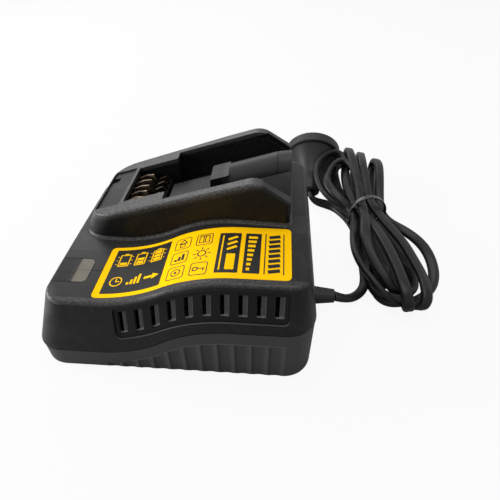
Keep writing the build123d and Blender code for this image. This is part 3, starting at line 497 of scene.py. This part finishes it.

# %% [markdown]
# The upper half has the vents. Between the joint and the deck the front wall leans back, and the
# depth behind that wall tells the sunk face, which is painted dark as shade in its recess, from the
# shelves inside the slots, where grey dust has settled, painted paler as light. The right side of
# each slot, its sill and the lower edge of the sunk face are painted light, as highlight. The crest
# of the dock, the ridge behind the label, the brow over the vents and the nose carry painted
# highlight, broken by a pale speckle of wear.

# %% Marks of the upper half
WALL_FRONT = -0.0585
WALL_LEAN = 0.0075
VENTS_LEFT = -0.0247
VENTS_RIGHT = 0.0567
FIRST_SLOT = -0.0225
SLOT_PITCH = 0.0081
SLOT_OPEN = 0.00365
DOCK_SLOPE = 0.318
CREST = 0.0676
NOSE_CORNER = (-0.0640, -0.0480, 0.0370)
# pale grey of settled dust, used again as painted highlight on the lower edge of the sunk face
DUST_AND_LIGHT = (0.085, 0.084, 0.082)


def vent_marks(finish, tone, rough, x, y, z, above, deck):
    """Painted shade on the sunk face of the vents, painted highlight on its lower edge, and dusty shelves
    painted paler as light.
    """
    wall_height = deck - (z - above)
    depth = y - WALL_FRONT - above / wall_height * WALL_LEAN
    panel = between(x, VENTS_LEFT, VENTS_RIGHT) * (z < deck - 0.0016)
    grit = finish.noise(700, 3.0, 0.7)
    # the shelves are grey with dust
    shelf = finish.mix(grit, (0.022, 0.022, 0.023), DUST_AND_LIGHT)
    # painted highlight on the shelves along the sill and at the right side of each slot
    lit = finish.step(s_line(x, *SILL) + 0.0010 - z, 0.0, 0.0006) * (grit * 0.9 + 0.4)
    right_side = (x - FIRST_SLOT).maths("MODULO", SLOT_PITCH) > SLOT_OPEN
    shelf = finish.mix(lit.maths("MAXIMUM", right_side * 0.45), shelf, (0.20, 0.196, 0.19))
    tone = finish.mix(between(depth, 0.0015, 0.0026) * panel, tone, shelf)
    # painted shade: the sunk face near-black in its recess
    face = between(depth, 0.0006, 0.0013) * panel
    tone = finish.mix(face * 0.85, tone, (0.0009, 0.0009, 0.0010))
    # painted highlight along the lower edge of the sunk face
    edge = between(depth, 0.00005, 0.00085) * (z < deck - 0.0090) * panel
    return finish.mix(edge * 0.7, tone, DUST_AND_LIGHT), rough + face * 0.14


def highlight_and_wear_marks(finish, tone, x, y, z, deck):
    """Painted highlight on the crest, the ridge, the brow and the nose, broken by a pale speckle of wear."""
    speckle = finish.step(finish.noise(1100, 3.0, 0.7), 0.40, 0.64)
    # each mask places painted highlight where that edge would catch the light
    crest = finish.step(z - x * DOCK_SLOPE, CREST - 0.0042, CREST - 0.0010)
    ridge = finish.step(z - deck, -0.0002, 0.0004) * (z < deck + 0.0016) * between(y, -0.0145, 0.0)
    brow = finish.step(z - deck, -0.0016, -0.0004) * (z < deck + 0.0004) * (y < -0.0470)
    steps_away = [axis - corner for axis, corner in zip((x, y, z), NOSE_CORNER)]
    squares = [step * step for step in steps_away]
    nose = finish.step(0.0 - (squares[0] + squares[1] + squares[2]), -0.000150, -0.000020)
    lit_and_worn = (crest * 0.8 + ridge * 0.7 + brow * 0.5 + nose * 0.9).maths("MINIMUM", 1.0)
    return finish.mix(lit_and_worn * (speckle * 0.75 + 0.25), tone, (0.092, 0.090, 0.088))


def upper_marks(finish, tone, rough, x, y, z):
    """All marks of the upper half."""
    above, tone, rough = joint_marks(finish, tone, rough, x, z)
    deck = s_line(x, *DECK)
    tone, rough = vent_marks(finish, tone, rough, x, y, z, above, deck)
    return highlight_and_wear_marks(finish, tone, x, y, z, deck), rough, above


print("slots:", round((VENTS_RIGHT - VENTS_LEFT) / SLOT_PITCH))

# %% [markdown]
# Under those marks every moulding is the same: clouds of tone, the grain in the bump, scratches in
# patches, specks of dust and a faint film. The joint is a shallow groove as well.

# %% Moulding finish
def moulded(name, dark, light, rough_low, rough_high, grain, scuffs, gloss, marks):
    """Grained plastic between two tones, with the marks of its own that a function adds."""
    finish = Finish(name)
    cloud = finish.noise(22, 3.0)
    tone = finish.mix(cloud, dark, light)
    scratch_place = finish.stretched((30, 900, 400), (0, 0, 0.5))
    scratch = finish.step(finish.noise(1.0, 3.0, 0.65, scratch_place), 0.715, 0.76)
    patch = finish.step(finish.noise(35, 2.0), 0.52, 0.64)
    dust = finish.step(finish.noise(1300, 1.0, 0.3), 0.70, 0.80)
    film = finish.step(finish.noise(60, 4.0, 0.7), 0.50, 0.80)
    pale = scratch * patch * scuffs + dust * (0.35 * scuffs) + film * (0.10 * scuffs)
    tone = finish.mix(pale, tone, (0.17, 0.167, 0.16))
    rough = cloud * (rough_high - rough_low) + rough_low
    tone, rough, above_joint = marks(finish, tone, rough, *axes_of(finish))
    normal = finish.bump(finish.noise(2400, 2.0, 0.6), 0.00006, grain)
    if above_joint is not None:
        groove = finish.step(above_joint.maths("ABSOLUTE"), 0.00005, 0.00060)
        normal = finish.bump(groove, 0.0008, 1.0, under=normal)
    return finish.surface(Base_Color=tone, Roughness=rough, Normal=normal, Specular_IOR_Level=gloss)


upper_finish = moulded("housing_plastic", (0.0046, 0.0045, 0.0047), (0.0086, 0.0083, 0.0082),
                       0.31, 0.43, 0.55, 0.6, 0.17, upper_marks)
lower_finish = moulded("base_plastic", (0.028, 0.028, 0.0298), (0.039, 0.039, 0.0408),
                       0.45, 0.56, 0.6, 0.3, 0.22, lower_marks)
wear(upper_finish, "upper_housing")
wear(lower_finish, "lower_housing")
print("nodes in the upper half's finish:", len(upper_finish.node_tree.nodes))

# %% [markdown]
# The cradle, the cover and the terminal block are another mould, blacker and smoother, because the
# battery slides on them. Rubbing has left more pale marks there. The floor of the channel is duller
# and painted darker as shade, deeper down, the top of the guide is painted paler as light, and a gap
# of shadow runs along two sides of the cover.

# %% Cradle finish
CHANNEL_MOULD = ((0.004, 0.004, 0.0045), (0.008, 0.008, 0.0085), 0.36, 0.48, 0.25, 1.0)
GUIDE_MIDDLE = 0.0244
GUIDE_HALF = 0.0086


def cradle_marks(finish, tone, rough, x, y, z):
    """A duller floor painted darker as shade deeper down, and a guide painted paler as light."""
    # painted shade: darker and rougher deeper in the channel
    shallow = finish.step(z - x * DOCK_SLOPE, 0.0500, 0.0590)
    tone = finish.mix(shallow, (0.0022, 0.0022, 0.0024), tone)
    # painted light along the top of the guide
    guide = ((y - GUIDE_MIDDLE).maths("ABSOLUTE") < GUIDE_HALF) * (x > 0.0200)
    return finish.mix(guide * 0.8, tone, (0.024, 0.024, 0.0245)), rough + (1.0 - shallow) * 0.22, None


def cover_marks(finish, tone, rough, x, y, z):
    """The gap along two sides of the cover."""
    gap = (x > -0.0363).maths("MAXIMUM", y < 0.0067)
    return finish.mix(gap, tone, SHADOW), rough + gap * 0.5, None


cradle_finish = moulded("cradle_plastic", *CHANNEL_MOULD, 0.16, cradle_marks)
cover_finish = moulded("cover_plastic", *CHANNEL_MOULD, 0.15, cover_marks)
wear(cradle_finish, "battery_cradle", "terminal_block")
wear(cover_finish, "terminal_cover")
print("nodes in the cradle's finish:", len(cradle_finish.node_tree.nodes))

# %% [markdown]
# ## Cord and plug
#
# Both are soft PVC. The cord's jacket has a satin sheen with faint drawing lines along its length,
# which follow its own UV map. The plug is the same stuff moulded over the pins, a little browner.

# %% Cord and plug finishes
def soft_jacket(name, dark, light, rough, along, gloss):
    """Soft PVC, with drawing lines along it where it has a UV map to follow."""
    finish = Finish(name)
    cloud = finish.noise(30, 3.0)
    tone = finish.mix(cloud, dark, light)
    dust = finish.step(finish.noise(900, 2.0, 0.4), 0.70, 0.80)
    tone = finish.mix(dust * 0.25, tone, (0.12, 0.115, 0.105))
    if along:
        place = finish.add("ShaderNodeUVMap", {"uv_map": "along"})
        lines = finish.add("ShaderNodeMapping", None, {"Vector": place, "Scale": (60, 0.6, 1)})
        height = finish.noise(1.0, 2.0, 0.5, lines) * 0.6 + finish.noise(1800, 2.0) * 0.4
    else:
        height = finish.noise(1700, 2.0)
    normal = finish.bump(height, 0.00005, 0.6)
    return finish.surface(Base_Color=tone, Roughness=cloud * 0.12 + rough, Normal=normal,
                          Specular_IOR_Level=gloss)


jacket = soft_jacket("cord_jacket", (0.0035, 0.0035, 0.0037), (0.0070, 0.0070, 0.0072), 0.34, True, 0.22)
cord.data.materials.append(jacket)
plug_skin = soft_jacket("plug_pvc", (0.010, 0.0094, 0.0092), (0.018, 0.0168, 0.0160), 0.42, False, 0.24)
wear(plug_skin, "plug_body", "cord_grip")
print("materials on the cord:", len(cord.data.materials))

# %% [markdown]
# ## Modelling as by hand
#
# The small pieces below start as primitives and are shaped in edit mode. Every operator acts on all
# that is selected, so each piece begins with an empty selection. A primitive is added at the origin,
# shaped there, and turned and moved to its place while it is still in edit mode, so that the place
# is in its mesh.

# %% A few habits as helpers
def begin(name, primitive, pressed, **settings):
    """Add a primitive at the origin, open it in edit mode and press it to size."""
    bpy.ops.object.select_all(action="DESELECT")
    primitive(location=(0, 0, 0), **settings)
    piece = bpy.context.object
    piece.name = name
    bpy.ops.object.mode_set(mode="EDIT")
    bpy.ops.mesh.select_all(action="SELECT")
    bpy.ops.transform.resize(value=pressed, center_override=(0, 0, 0))
    return piece


def put(place, turn=0.0):
    """Turn the open piece about the vertical, by degrees, move it to its place and close it."""
    bpy.ops.mesh.select_all(action="SELECT")
    if turn:
        bpy.ops.transform.rotate(value=math.radians(turn), orient_axis="Z", center_override=(0, 0, 0))
    bpy.ops.transform.translate(value=place)
    bpy.ops.object.mode_set(mode="OBJECT")


def alone(piece):
    """Select one piece and make it active."""
    bpy.ops.object.select_all(action="DESELECT")
    piece.select_set(True)
    bpy.context.view_layer.objects.active = piece


def joined(pieces, into):
    """Join pieces into one of them."""
    alone(into)
    for piece in pieces:
        piece.select_set(True)
    bpy.ops.object.join()
    return into


def finish_with(piece, kind, **settings):
    """Add a modifier and apply it."""
    alone(piece)
    modifier = piece.modifiers.new(kind.lower(), kind)
    for key, value in settings.items():
        setattr(modifier, key, value)
    bpy.ops.object.modifier_apply(modifier=modifier.name)


def shade(piece, degrees=40):
    """Smooth the faces that meet at less than an angle."""
    alone(piece)
    bpy.ops.object.shade_smooth_by_angle(angle=math.radians(degrees))


# %% [markdown]
# ## The tie round the hank
#
# A thin strap goes once round the waist of the hank and closes in a small catch low on its left. A
# circle of 44 points, pressed to an oval and extruded to the strap's width, is the band. Solidify
# gives it a thickness and Bevel takes the sharp edge off, which is what catches the light.

# %% Model the tie
TIE_MIDDLE = (0.1139, 0.0680, 0.0131)
TIE_HALF = (0.0129, 0.0124)
TIE_TURN = -10
STRAP = 0.0036
STRAP_THICKNESS = 0.0009

tie = begin("hank_tie", bpy.ops.mesh.primitive_circle_add, (*TIE_HALF, 1), vertices=44, radius=1.0)
bpy.ops.transform.rotate(value=math.radians(90), orient_axis="X", center_override=(0, 0, 0))
bpy.ops.transform.translate(value=(0, -STRAP / 2, 0))
bpy.ops.mesh.extrude_region_move(TRANSFORM_OT_translate={"value": (0, STRAP, 0)})
put(TIE_MIDDLE, TIE_TURN)
finish_with(tie, "SOLIDIFY", thickness=STRAP_THICKNESS, offset=0.0)
finish_with(tie, "BEVEL", width=0.00022, segments=2, limit_method="ANGLE")
shade(tie)
tie_low = min(vertex.co.z for vertex in tie.data.vertices)
print("tie: lowest point", round(tie_low * 1000, 2), "mm")

# %% [markdown]
# The catch is a small rounded block: a cube in edit mode, pressed to size and bevelled all round. It
# is joined to the strap, since the two are one moulding.

# %% Model the catch
catch = begin("tie_catch", bpy.ops.mesh.primitive_cube_add, (0.0024, 0.0036, 0.0040), size=1.0)
bpy.ops.mesh.bevel(offset=0.0006, segments=2)
put((0.1018, 0.0656, 0.0064), TIE_TURN)
shade(catch)
joined([catch], tie)
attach(tie, "root")
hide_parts("cord_tie")
tie_finish = Finish("tie_plastic")
tie.data.materials.append(tie_finish.surface(
    Base_Color=tie_finish.mix(tie_finish.noise(150), (0.004, 0.004, 0.004), (0.010, 0.010, 0.010)),
    Roughness=tie_finish.noise(200) * 0.15 + 0.16, Specular_IOR_Level=0.5))
print("tie faces:", len(tie.data.polygons))

# %% [markdown]

# %% [markdown]
# ## Metals
#
# The contacts are plated brass that has tarnished. Brushing and tarnish are both noise, one
# stretched along the blade. Towards their tips the blades are darker, so their place along X darkens
# them there. The pins are nickel, the heatsink bare aluminium.

# %% Metal finishes
def metal(name, clean, tarnished, rough, brushed, dull_from=None):
    """Metal with brush lines and stains, darker past a place on X if one is given."""
    finish = Finish(name)
    lines = finish.stretched(brushed)
    brush = finish.noise(1.0, 2.0, 0.6, lines)
    stain = finish.step(finish.noise(160, 3.0), 0.40, 0.66)
    tone = finish.mix(stain, clean, tarnished)
    if dull_from is not None:
        # darker towards the tips of the blades
        tip_darkening = finish.step(axes_of(finish)[0], dull_from, dull_from + 0.002)
        tone = finish.mix(tip_darkening * 0.9, tone, (0.035, 0.024, 0.017))
    normal = finish.bump(brush, 0.00002, 0.5)
    return finish.surface(Base_Color=tone, Metallic=1.0, Roughness=brush * 0.15 + rough, Normal=normal)


DARKER_FROM = -0.0235
blades = metal("contact_plating", (0.23, 0.180, 0.125), (0.075, 0.052, 0.034), 0.36, (300, 300, 2500),
               dull_from=DARKER_FROM)
wear(blades, *(f"contact_blade_{number}" for number in range(1, 6)))
wear(metal("pin_nickel", (0.68, 0.66, 0.60), (0.45, 0.42, 0.36), 0.22, (2500, 300, 300)),
     "plug_pin_1", "plug_pin_2")
wear(metal("bare_aluminium", (0.70, 0.71, 0.72), (0.55, 0.56, 0.57), 0.35, (200, 2500, 200)), "heatsink")
wear(metal("zinc_steel", (0.60, 0.61, 0.62), (0.42, 0.42, 0.43), 0.30, (900, 900, 900)),
     *(f"housing_screw_{number}" for number in range(1, 5)), "board_screw_1", "board_screw_2")
wear(metal("enamelled_copper", (0.70, 0.30, 0.12), (0.50, 0.20, 0.08), 0.25, (900, 3000, 900)),
     "mains_choke")
print("finishes so far:", len(bpy.data.materials))

# %% [markdown]
# ## Inside the box
#
# A little of the circuit board shows through the vents and the keyholes, so its parts get plain
# but true finishes: green lacquer, dark ferrite, yellow tape, sleeved capacitors and black resin.

# %% Finishes of the inner parts
def plain(name, first, second, rough, scale=120):
    """A cloud of two tones with a fine bump."""
    finish = Finish(name)
    cloud = finish.noise(scale, 2.0)
    normal = finish.bump(finish.noise(scale * 12), 0.00003, 0.4)
    return finish.surface(Base_Color=finish.mix(cloud, first, second), Roughness=cloud * 0.15 + rough,
                          Normal=normal)


wear(plain("board_lacquer", (0.012, 0.09, 0.035), (0.02, 0.14, 0.05), 0.30, 90), "circuit_board")
wear(plain("ferrite", (0.045, 0.045, 0.05), (0.075, 0.075, 0.08), 0.55), "transformer_core")
wear(plain("winding_tape", (0.72, 0.52, 0.06), (0.80, 0.62, 0.10), 0.35), "transformer_winding")
wear(plain("capacitor_sleeve", (0.02, 0.03, 0.09), (0.03, 0.045, 0.12), 0.25), "bulk_capacitor")
wear(plain("film_case", (0.55, 0.36, 0.04), (0.62, 0.42, 0.06), 0.32), "filter_capacitor")
wear(plain("moulded_resin", (0.018, 0.018, 0.018), (0.03, 0.03, 0.03), 0.45),
     "power_transistor", "output_rectifier", "opto_coupler", "controller_chip")
wear(plain("fuse_glass", (0.45, 0.50, 0.48), (0.58, 0.60, 0.56), 0.15), "fuse")
wear(plain("led_resin", (0.50, 0.04, 0.03), (0.62, 0.08, 0.05), 0.20), "status_led_1", "status_led_2")
print("finishes so far:", len(bpy.data.materials))

# %% [markdown]
# ## Indicator lens
#
# The lens is smoky acrylic over two light pipes. Light goes a little way in and comes back beige, so
# a painted tone reads better than real glass with nothing lit behind it. Where the lens wraps over
# the nose there is no pipe under it, and it is dark. Fine lines divide it into panes, as the pipes do.

# %% Lens finish
PANE_X = -0.0492        # the line across the lens, where the pipes end
PANE_Y = -0.0290        # the line between the two pipes
LENS_RIGHT = -0.0423
LENS_LEFT = -0.0605
LENS_HALF = 0.0080

lens = Finish("smoky_acrylic")
lens_x, lens_y, _ = axes_of(lens)
off_middle = (lens_y - PANE_Y).maths("ABSOLUTE")
pane = ((lens_x - PANE_X).maths("ABSOLUTE") < 0.00022).maths("MAXIMUM", off_middle < 0.00020)
shade_cloud = lens.noise(90, 3.0)
pipe = lens.mix(shade_cloud, (0.095, 0.086, 0.069), (0.175, 0.153, 0.122))
nose_side = lens.mix(lens.noise(140, 3.0), (0.006, 0.006, 0.0065), (0.022, 0.022, 0.022))
smoke = lens.mix(lens.step(lens_x, -0.0515, -0.0480), nose_side, pipe)
smoke = lens.mix(pane * 0.6, smoke, (0.03, 0.03, 0.028))
# painted shade: outside its panes the lens is near-black, as the recess round it
rim = (lens_x > LENS_RIGHT).maths("MAXIMUM", off_middle > LENS_HALF).maths("MAXIMUM", lens_x < LENS_LEFT)
smoke = lens.mix(rim * 0.9, smoke, (0.002, 0.002, 0.002))
lens_rough = shade_cloud * 0.12 + 0.24 + lens.step(lens_x, -0.0480, -0.0515) * 0.2
wear(lens.surface(Base_Color=smoke, Roughness=lens_rough, Specular_IOR_Level=0.12), "led_lens")
print("nodes in the lens finish:", len(lens.nodes))

# %% [markdown]
# ## Label
#
# The label is a yellow printed film that follows the S of the deck. Its film is one finish. The
# print is laid on it as thin flat shapes, pressed onto the film by a Shrinkwrap modifier, so that
# every edge stays sharp.

# %% Label film
film = Finish("label_film")
film_cloud = film.noise(25, 2.0)
film_tone = film.mix(film_cloud, (0.90, 0.485, 0.0018), (0.96, 0.555, 0.0030))
speck = film.step(film.noise(1100, 1.0, 0.3), 0.76, 0.82)
film_tone = film.mix(speck * 0.35, film_tone, (0.25, 0.16, 0.03))
wear(film.surface(Base_Color=film_tone, Roughness=film_cloud * 0.10 + 0.42,
                  Normal=film.bump(film.noise(900), 0.00002, 0.4), Specular_IOR_Level=0.02), "label")
print("finishes so far:", len(bpy.data.materials))

# %% [markdown]
# A scribed line runs across the deck from the lens to the label. At a quarter of a millimetre wide it
# needs no cut in the housing: a narrow flat strip, inset once and laid two hundredths of a millimetre
# above the deck, nearly black and dull, reads as a groove.

# %% Scribed line on the deck
SCRIBE_SIZE = (0.0052, 0.00028, 1)
SCRIBE_PLACE = (-0.0391, -0.0290, 0.03981)

scribe = begin("deck_scribe", bpy.ops.mesh.primitive_plane_add, SCRIBE_SIZE, size=1.0)
bpy.ops.mesh.inset(thickness=0.00005)
bpy.ops.transform.translate(value=(0, 0, 0.00002))
put(SCRIBE_PLACE)
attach(scribe, "root")
scribe_finish = Finish("scribe_shadow")
scribe_tone = scribe_finish.mix(scribe_finish.noise(500), (0.0006, 0.0006, 0.0006), (0.0014, 0.0014, 0.0014))
scribe.data.materials.append(scribe_finish.surface(
    Base_Color=scribe_tone, Roughness=0.7, Specular_IOR_Level=0.05))
print("scribe faces:", len(scribe.data.polygons))

# %% [markdown]
# The print is a legend without words. A dark panel carries charge levels, a group of outlined
# pictograms sits beside it, and dark bands with plain stripes close the row. Each shape is a plane
# or a disc in edit mode: round corners come from a vertex bevel, and an outline from an inset whose
# middle is deleted.

# %% Flat shapes for the print
ABOVE_ALL = 0.1     # shapes are drawn this high, in metres, and pressed down later
ink = []
light_ink = []


def shape(pile, x, y, width, height, corner=0.0, outline=0.0, turn=0.0, corners=4):
    """Add one flat shape, in millimetres, centred at x and y."""
    pressed = (width / 1000, height / 1000, 1)
    if corners == 4:
        piece = begin("flat_shape", bpy.ops.mesh.primitive_plane_add, pressed, size=1.0)
    else:
        piece = begin("flat_shape", bpy.ops.mesh.primitive_circle_add, pressed, vertices=corners,
                      radius=0.5, fill_type="NGON")
    if corner:
        bpy.ops.mesh.bevel(offset=corner / 1000, segments=4, affect="VERTICES")
        bpy.ops.mesh.select_all(action="SELECT")
    if outline:
        bpy.ops.mesh.inset(thickness=outline / 1000)
        bpy.ops.mesh.delete(type="FACE")
    put((x / 1000, y / 1000, ABOVE_ALL), -turn)
    pile.append(piece)


def box(pile, x0, x1, y0, y1, **more):
    """Add a rectangle between two places on each axis, in millimetres."""
    shape(pile, (x0 + x1) / 2, (y0 + y1) / 2, x1 - x0, y1 - y0, **more)


print("shapes are drawn", ABOVE_ALL, "m up")

# %% [markdown]
# The legend panel comes first: three cells with one, two and three bars in the far row, and a dial,
# steps and an arrow in the near row. All places on the label are in millimetres.

# %% Legend panel
CELLS = (-27.0, -18.2, -9.2)    # middles of the three cells
PLAIN_CELL = 1                  # this one has no ticks at its sides
BAR_RISE = 2.4
STAIR = 1.8
DIAL_X, DIAL_Y = -27.0, -36.6

box(ink, -32.8, -3.0, -44.4, -13.6, corner=0.5)
for index, middle in enumerate(CELLS):
    box(light_ink, middle - 2.9, middle + 2.9, -26.0, -17.4, corner=0.5, outline=0.6)
    box(light_ink, middle - 1.1, middle + 1.1, -17.2, -16.5)
    for bar in range(index + 1):
        box(light_ink, middle - 1.8, middle + 1.8, -25.0 + bar * BAR_RISE, -23.2 + bar * BAR_RISE)
    if index == PLAIN_CELL:
        continue
    for beside in (middle - 3.9, middle + 3.9):
        for tick in (-24.4, -21.7, -19.0):
            shape(light_ink, beside, tick, 0.9, 0.4)
shape(light_ink, DIAL_X, DIAL_Y, 6.4, 6.4, corners=24, outline=0.6)
box(light_ink, DIAL_X - 0.3, DIAL_X + 0.3, DIAL_Y - 0.3, DIAL_Y + 2.0)
box(light_ink, DIAL_X - 0.3, DIAL_X + 1.8, DIAL_Y - 0.3, DIAL_Y + 0.3)
for stair in range(4):
    left = -21.2 + stair * STAIR
    box(light_ink, left, left + 1.2, -39.2, -37.6 + stair * 1.5)
box(light_ink, -12.6, -8.6, -37.3, -35.7)
shape(light_ink, -7.3, -36.5, 4.6, 4.6, corners=3, turn=-90)
print("legend shapes:", len(ink) + len(light_ink))

# %% [markdown]
# Six pictograms stand in two columns: a house, steps and a ringed dot beside a booklet, a sun and a
# key. They are drawn with lines about half a millimetre wide.

# %% Pictograms
ROWS = (-19.4, -29.6, -39.8)    # middles of the three rows
HOUSE_X = 4.1
SUN_X = 15.0
RAYS = 8
RAY_OUT = 3.6

for row, y in enumerate(ROWS):
    box(ink, 0.0, 8.2, y - 4.1, y + 4.1, corner=1.3, outline=0.42)
    if row != 1:
        box(ink, 10.9, 19.1, y - 4.1, y + 4.1, corner=1.3, outline=0.42)
shape(ink, HOUSE_X, -18.4, 5.6, 4.6, corners=3, outline=0.5)
box(ink, 2.7, 5.5, -22.2, -19.6, outline=0.45)
for stair in range(3):
    left = 1.8 + stair * 1.7
    box(ink, left, left + 1.3, -31.8, -30.4 + stair * 1.5)
shape(ink, HOUSE_X, ROWS[2], 4.6, 4.6, corners=20, outline=0.5)
shape(ink, HOUSE_X, ROWS[2], 1.5, 1.5, corners=12)
box(ink, 12.3, 14.8, -21.9, -17.0, outline=0.45)
box(ink, 15.2, 17.7, -21.9, -17.0, outline=0.45)
box(ink, 12.3, 17.7, -16.7, -16.3)
shape(ink, SUN_X, ROWS[1], 4.4, 4.4, corners=20, outline=0.55)
for ray in range(RAYS):
    angle = ray * 360 / RAYS
    along = RAY_OUT * math.cos(math.radians(angle))
    up = RAY_OUT * math.sin(math.radians(angle))
    shape(ink, SUN_X + along, ROWS[1] + up, 1.5, 0.5, turn=angle)
shape(ink, 13.4, ROWS[2], 2.9, 2.9, corners=16, outline=0.55)
box(ink, 14.7, 17.8, -40.05, -39.55)
box(ink, 16.9, 17.5, -41.3, -40.0)
print("shapes so far:", len(ink) + len(light_ink))

# %% [markdown]
# Two dark bands carry plain stripes, and the last field holds a row of slanted blocks between two
# lines, which fill it as evenly as print would.

# %% Bands and blocks
BLOCKS = 8

for left, right in ((22.4, 32.9), (35.0, 42.6)):
    box(ink, left, right, -43.4, -16.0, corner=0.5)
for index in range(3):
    shape(light_ink, 29.0, -19.9 - index * 3.5, 5.0, 1.5, turn=28)
box(light_ink, 26.9, 31.0, -41.4, -31.0, corner=0.4)
box(light_ink, 24.0, 24.7, -41.6, -17.8)
for index in range(BLOCKS):
    near = -41.6 + index * 3.1
    box(light_ink, 36.5, 38.0 + 0.4 * index, near, near + 1.7)
for left in (44.4, 53.0):
    box(ink, left, left + 0.5, -43.6, -15.8)
for index in range(BLOCKS):
    shape(ink, 48.95, -41.5 + index * 3.35, 5.4, 2.2, turn=12)
print("shapes in all:", len(ink) + len(light_ink))

# %% [markdown]
# The shapes of one ink are joined. Cuts every 1.5 mm across the S let them bend, and a Shrinkwrap
# that projects straight down lays them on the film, a few hundredths above it.

# %% Press the print onto the film
FIRST_CUT = -0.0385
CUT_STEP = 0.0015
CUTS = 46


def press(pile, name, lift):
    """Join the shapes of one ink and lay them on the label, a little above it."""
    whole = joined(pile, pile[0])
    whole.name = name
    bpy.ops.object.mode_set(mode="EDIT")
    for index in range(CUTS):
        bpy.ops.mesh.select_all(action="SELECT")
        bpy.ops.mesh.bisect(plane_co=(FIRST_CUT + index * CUT_STEP, 0, 0), plane_no=(1, 0, 0))
    bpy.ops.mesh.select_all(action="SELECT")
    bpy.ops.mesh.quads_convert_to_tris()
    bpy.ops.object.mode_set(mode="OBJECT")
    finish_with(whole, "SHRINKWRAP", wrap_method="PROJECT", target=nodes["label"], offset=lift,
                use_project_z=True, use_negative_direction=True, use_positive_direction=False)
    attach(whole, "root")
    heights = [vertex.co.z for vertex in whole.data.vertices]
    print(name, "between", round(min(heights) * 1000, 1), "and", round(max(heights) * 1000, 1), "mm")
    return whole


dark_print = press(ink, "print_dark", 0.00005)
light_print = press(light_ink, "print_light", 0.00010)
ink_finish = Finish("dark_ink")
ink_tone = ink_finish.mix(ink_finish.noise(300, 3.0), (0.010, 0.010, 0.010), (0.020, 0.019, 0.018))
dark_print.data.materials.append(ink_finish.surface(
    Base_Color=ink_tone, Roughness=ink_finish.noise(40) * 0.1 + 0.42, Specular_IOR_Level=0.12))
light_print.data.materials.append(film.material)

# %% [markdown]
# ## Light and floor
#
# Four soft panels light the charger. The strongest stands on the left and rounds off the nose, a wide
# one overhead gives the deck its sheen, one behind on the left picks out the rear crest, and a small
# one low in front on the left keeps the vents readable. The world fills the rest. The floor shows
# nearly white to the camera, with only a breath of shadow, and the world is white wherever the camera,
# a reflection or clear plastic sees it.

# %% Lay the floor
WHITE = (1, 1, 1, 1)


def any_ray(tree, first, *others):
    """1 where a ray is of one of these kinds."""
    path = tree.add("ShaderNodeLightPath", out=first)
    kinds = path
    for other in others:
        kinds = kinds.maths("MAXIMUM", path.beside(other))
    return kinds


bpy.ops.object.select_all(action="DESELECT")
bpy.ops.mesh.primitive_plane_add(size=6.0, location=(0, 0, 0))
floor = bpy.context.object
floor.name = "floor"
ground = Finish("pale_floor")
seen = any_ray(ground, "Is Camera Ray", "Is Transmission Ray")
matt = ground.add("ShaderNodeBsdfDiffuse", None, {"Color": (0.62, 0.62, 0.62, 1.0)})
white = ground.add("ShaderNodeEmission", None, {"Color": WHITE, "Strength": 1.0})
mixed = ground.add("ShaderNodeMixShader", None, {0: seen * 0.92, 1: matt, 2: white})
ground.add("ShaderNodeOutputMaterial", None, {"Surface": mixed})
floor.data.materials.append(ground.material)
print("floor side in metres:", round(floor.dimensions.x, 1))


# %% Hang the lights
def panel(name, place, size, power, aim=(0, 0, 0.03)):
    """A flat lamp that faces a point near the charger."""
    data = bpy.data.lights.new(name, "AREA")
    data.shape = "RECTANGLE"
    data.size, data.size_y = size
    data.energy = power
    lamp = bpy.data.objects.new(name, data)
    bpy.context.scene.collection.objects.link(lamp)
    turned = (Vector(aim) - Vector(place)).to_track_quat("-Z", "Y").to_matrix().to_4x4()
    lamp.matrix_world = Matrix.Translation(place) @ turned


panel("left_window", (-0.95, 0.10, 0.34), (0.40, 0.40), 9.0)
panel("high", (0.0, 0.1, 1.15), (0.7, 0.7), 6.0, aim=(0, 0, 0.04))
panel("back_left", (-0.42, 0.80, 0.60), (0.75, 0.45), 3.3, aim=(0, 0, 0.04))
panel("front_left", (-0.92, -0.50, 0.32), (0.25, 0.25), 2.6)

world = bpy.data.worlds.new("studio")
bpy.context.scene.world = world
sky = Tree(world)
whitened = any_ray(sky, "Is Camera Ray", "Is Glossy Ray", "Is Transmission Ray")
strength = sky.add("ShaderNodeMapRange", None, {"Value": whitened, "To Min": 0.34, "To Max": 1.0})
dome = sky.add("ShaderNodeBackground", None, {"Color": WHITE, "Strength": strength})
sky.add("ShaderNodeOutputWorld", None, {"Surface": dome})
bpy.context.scene.view_settings.view_transform = "Standard"
print("lamps:", len(bpy.data.lights))
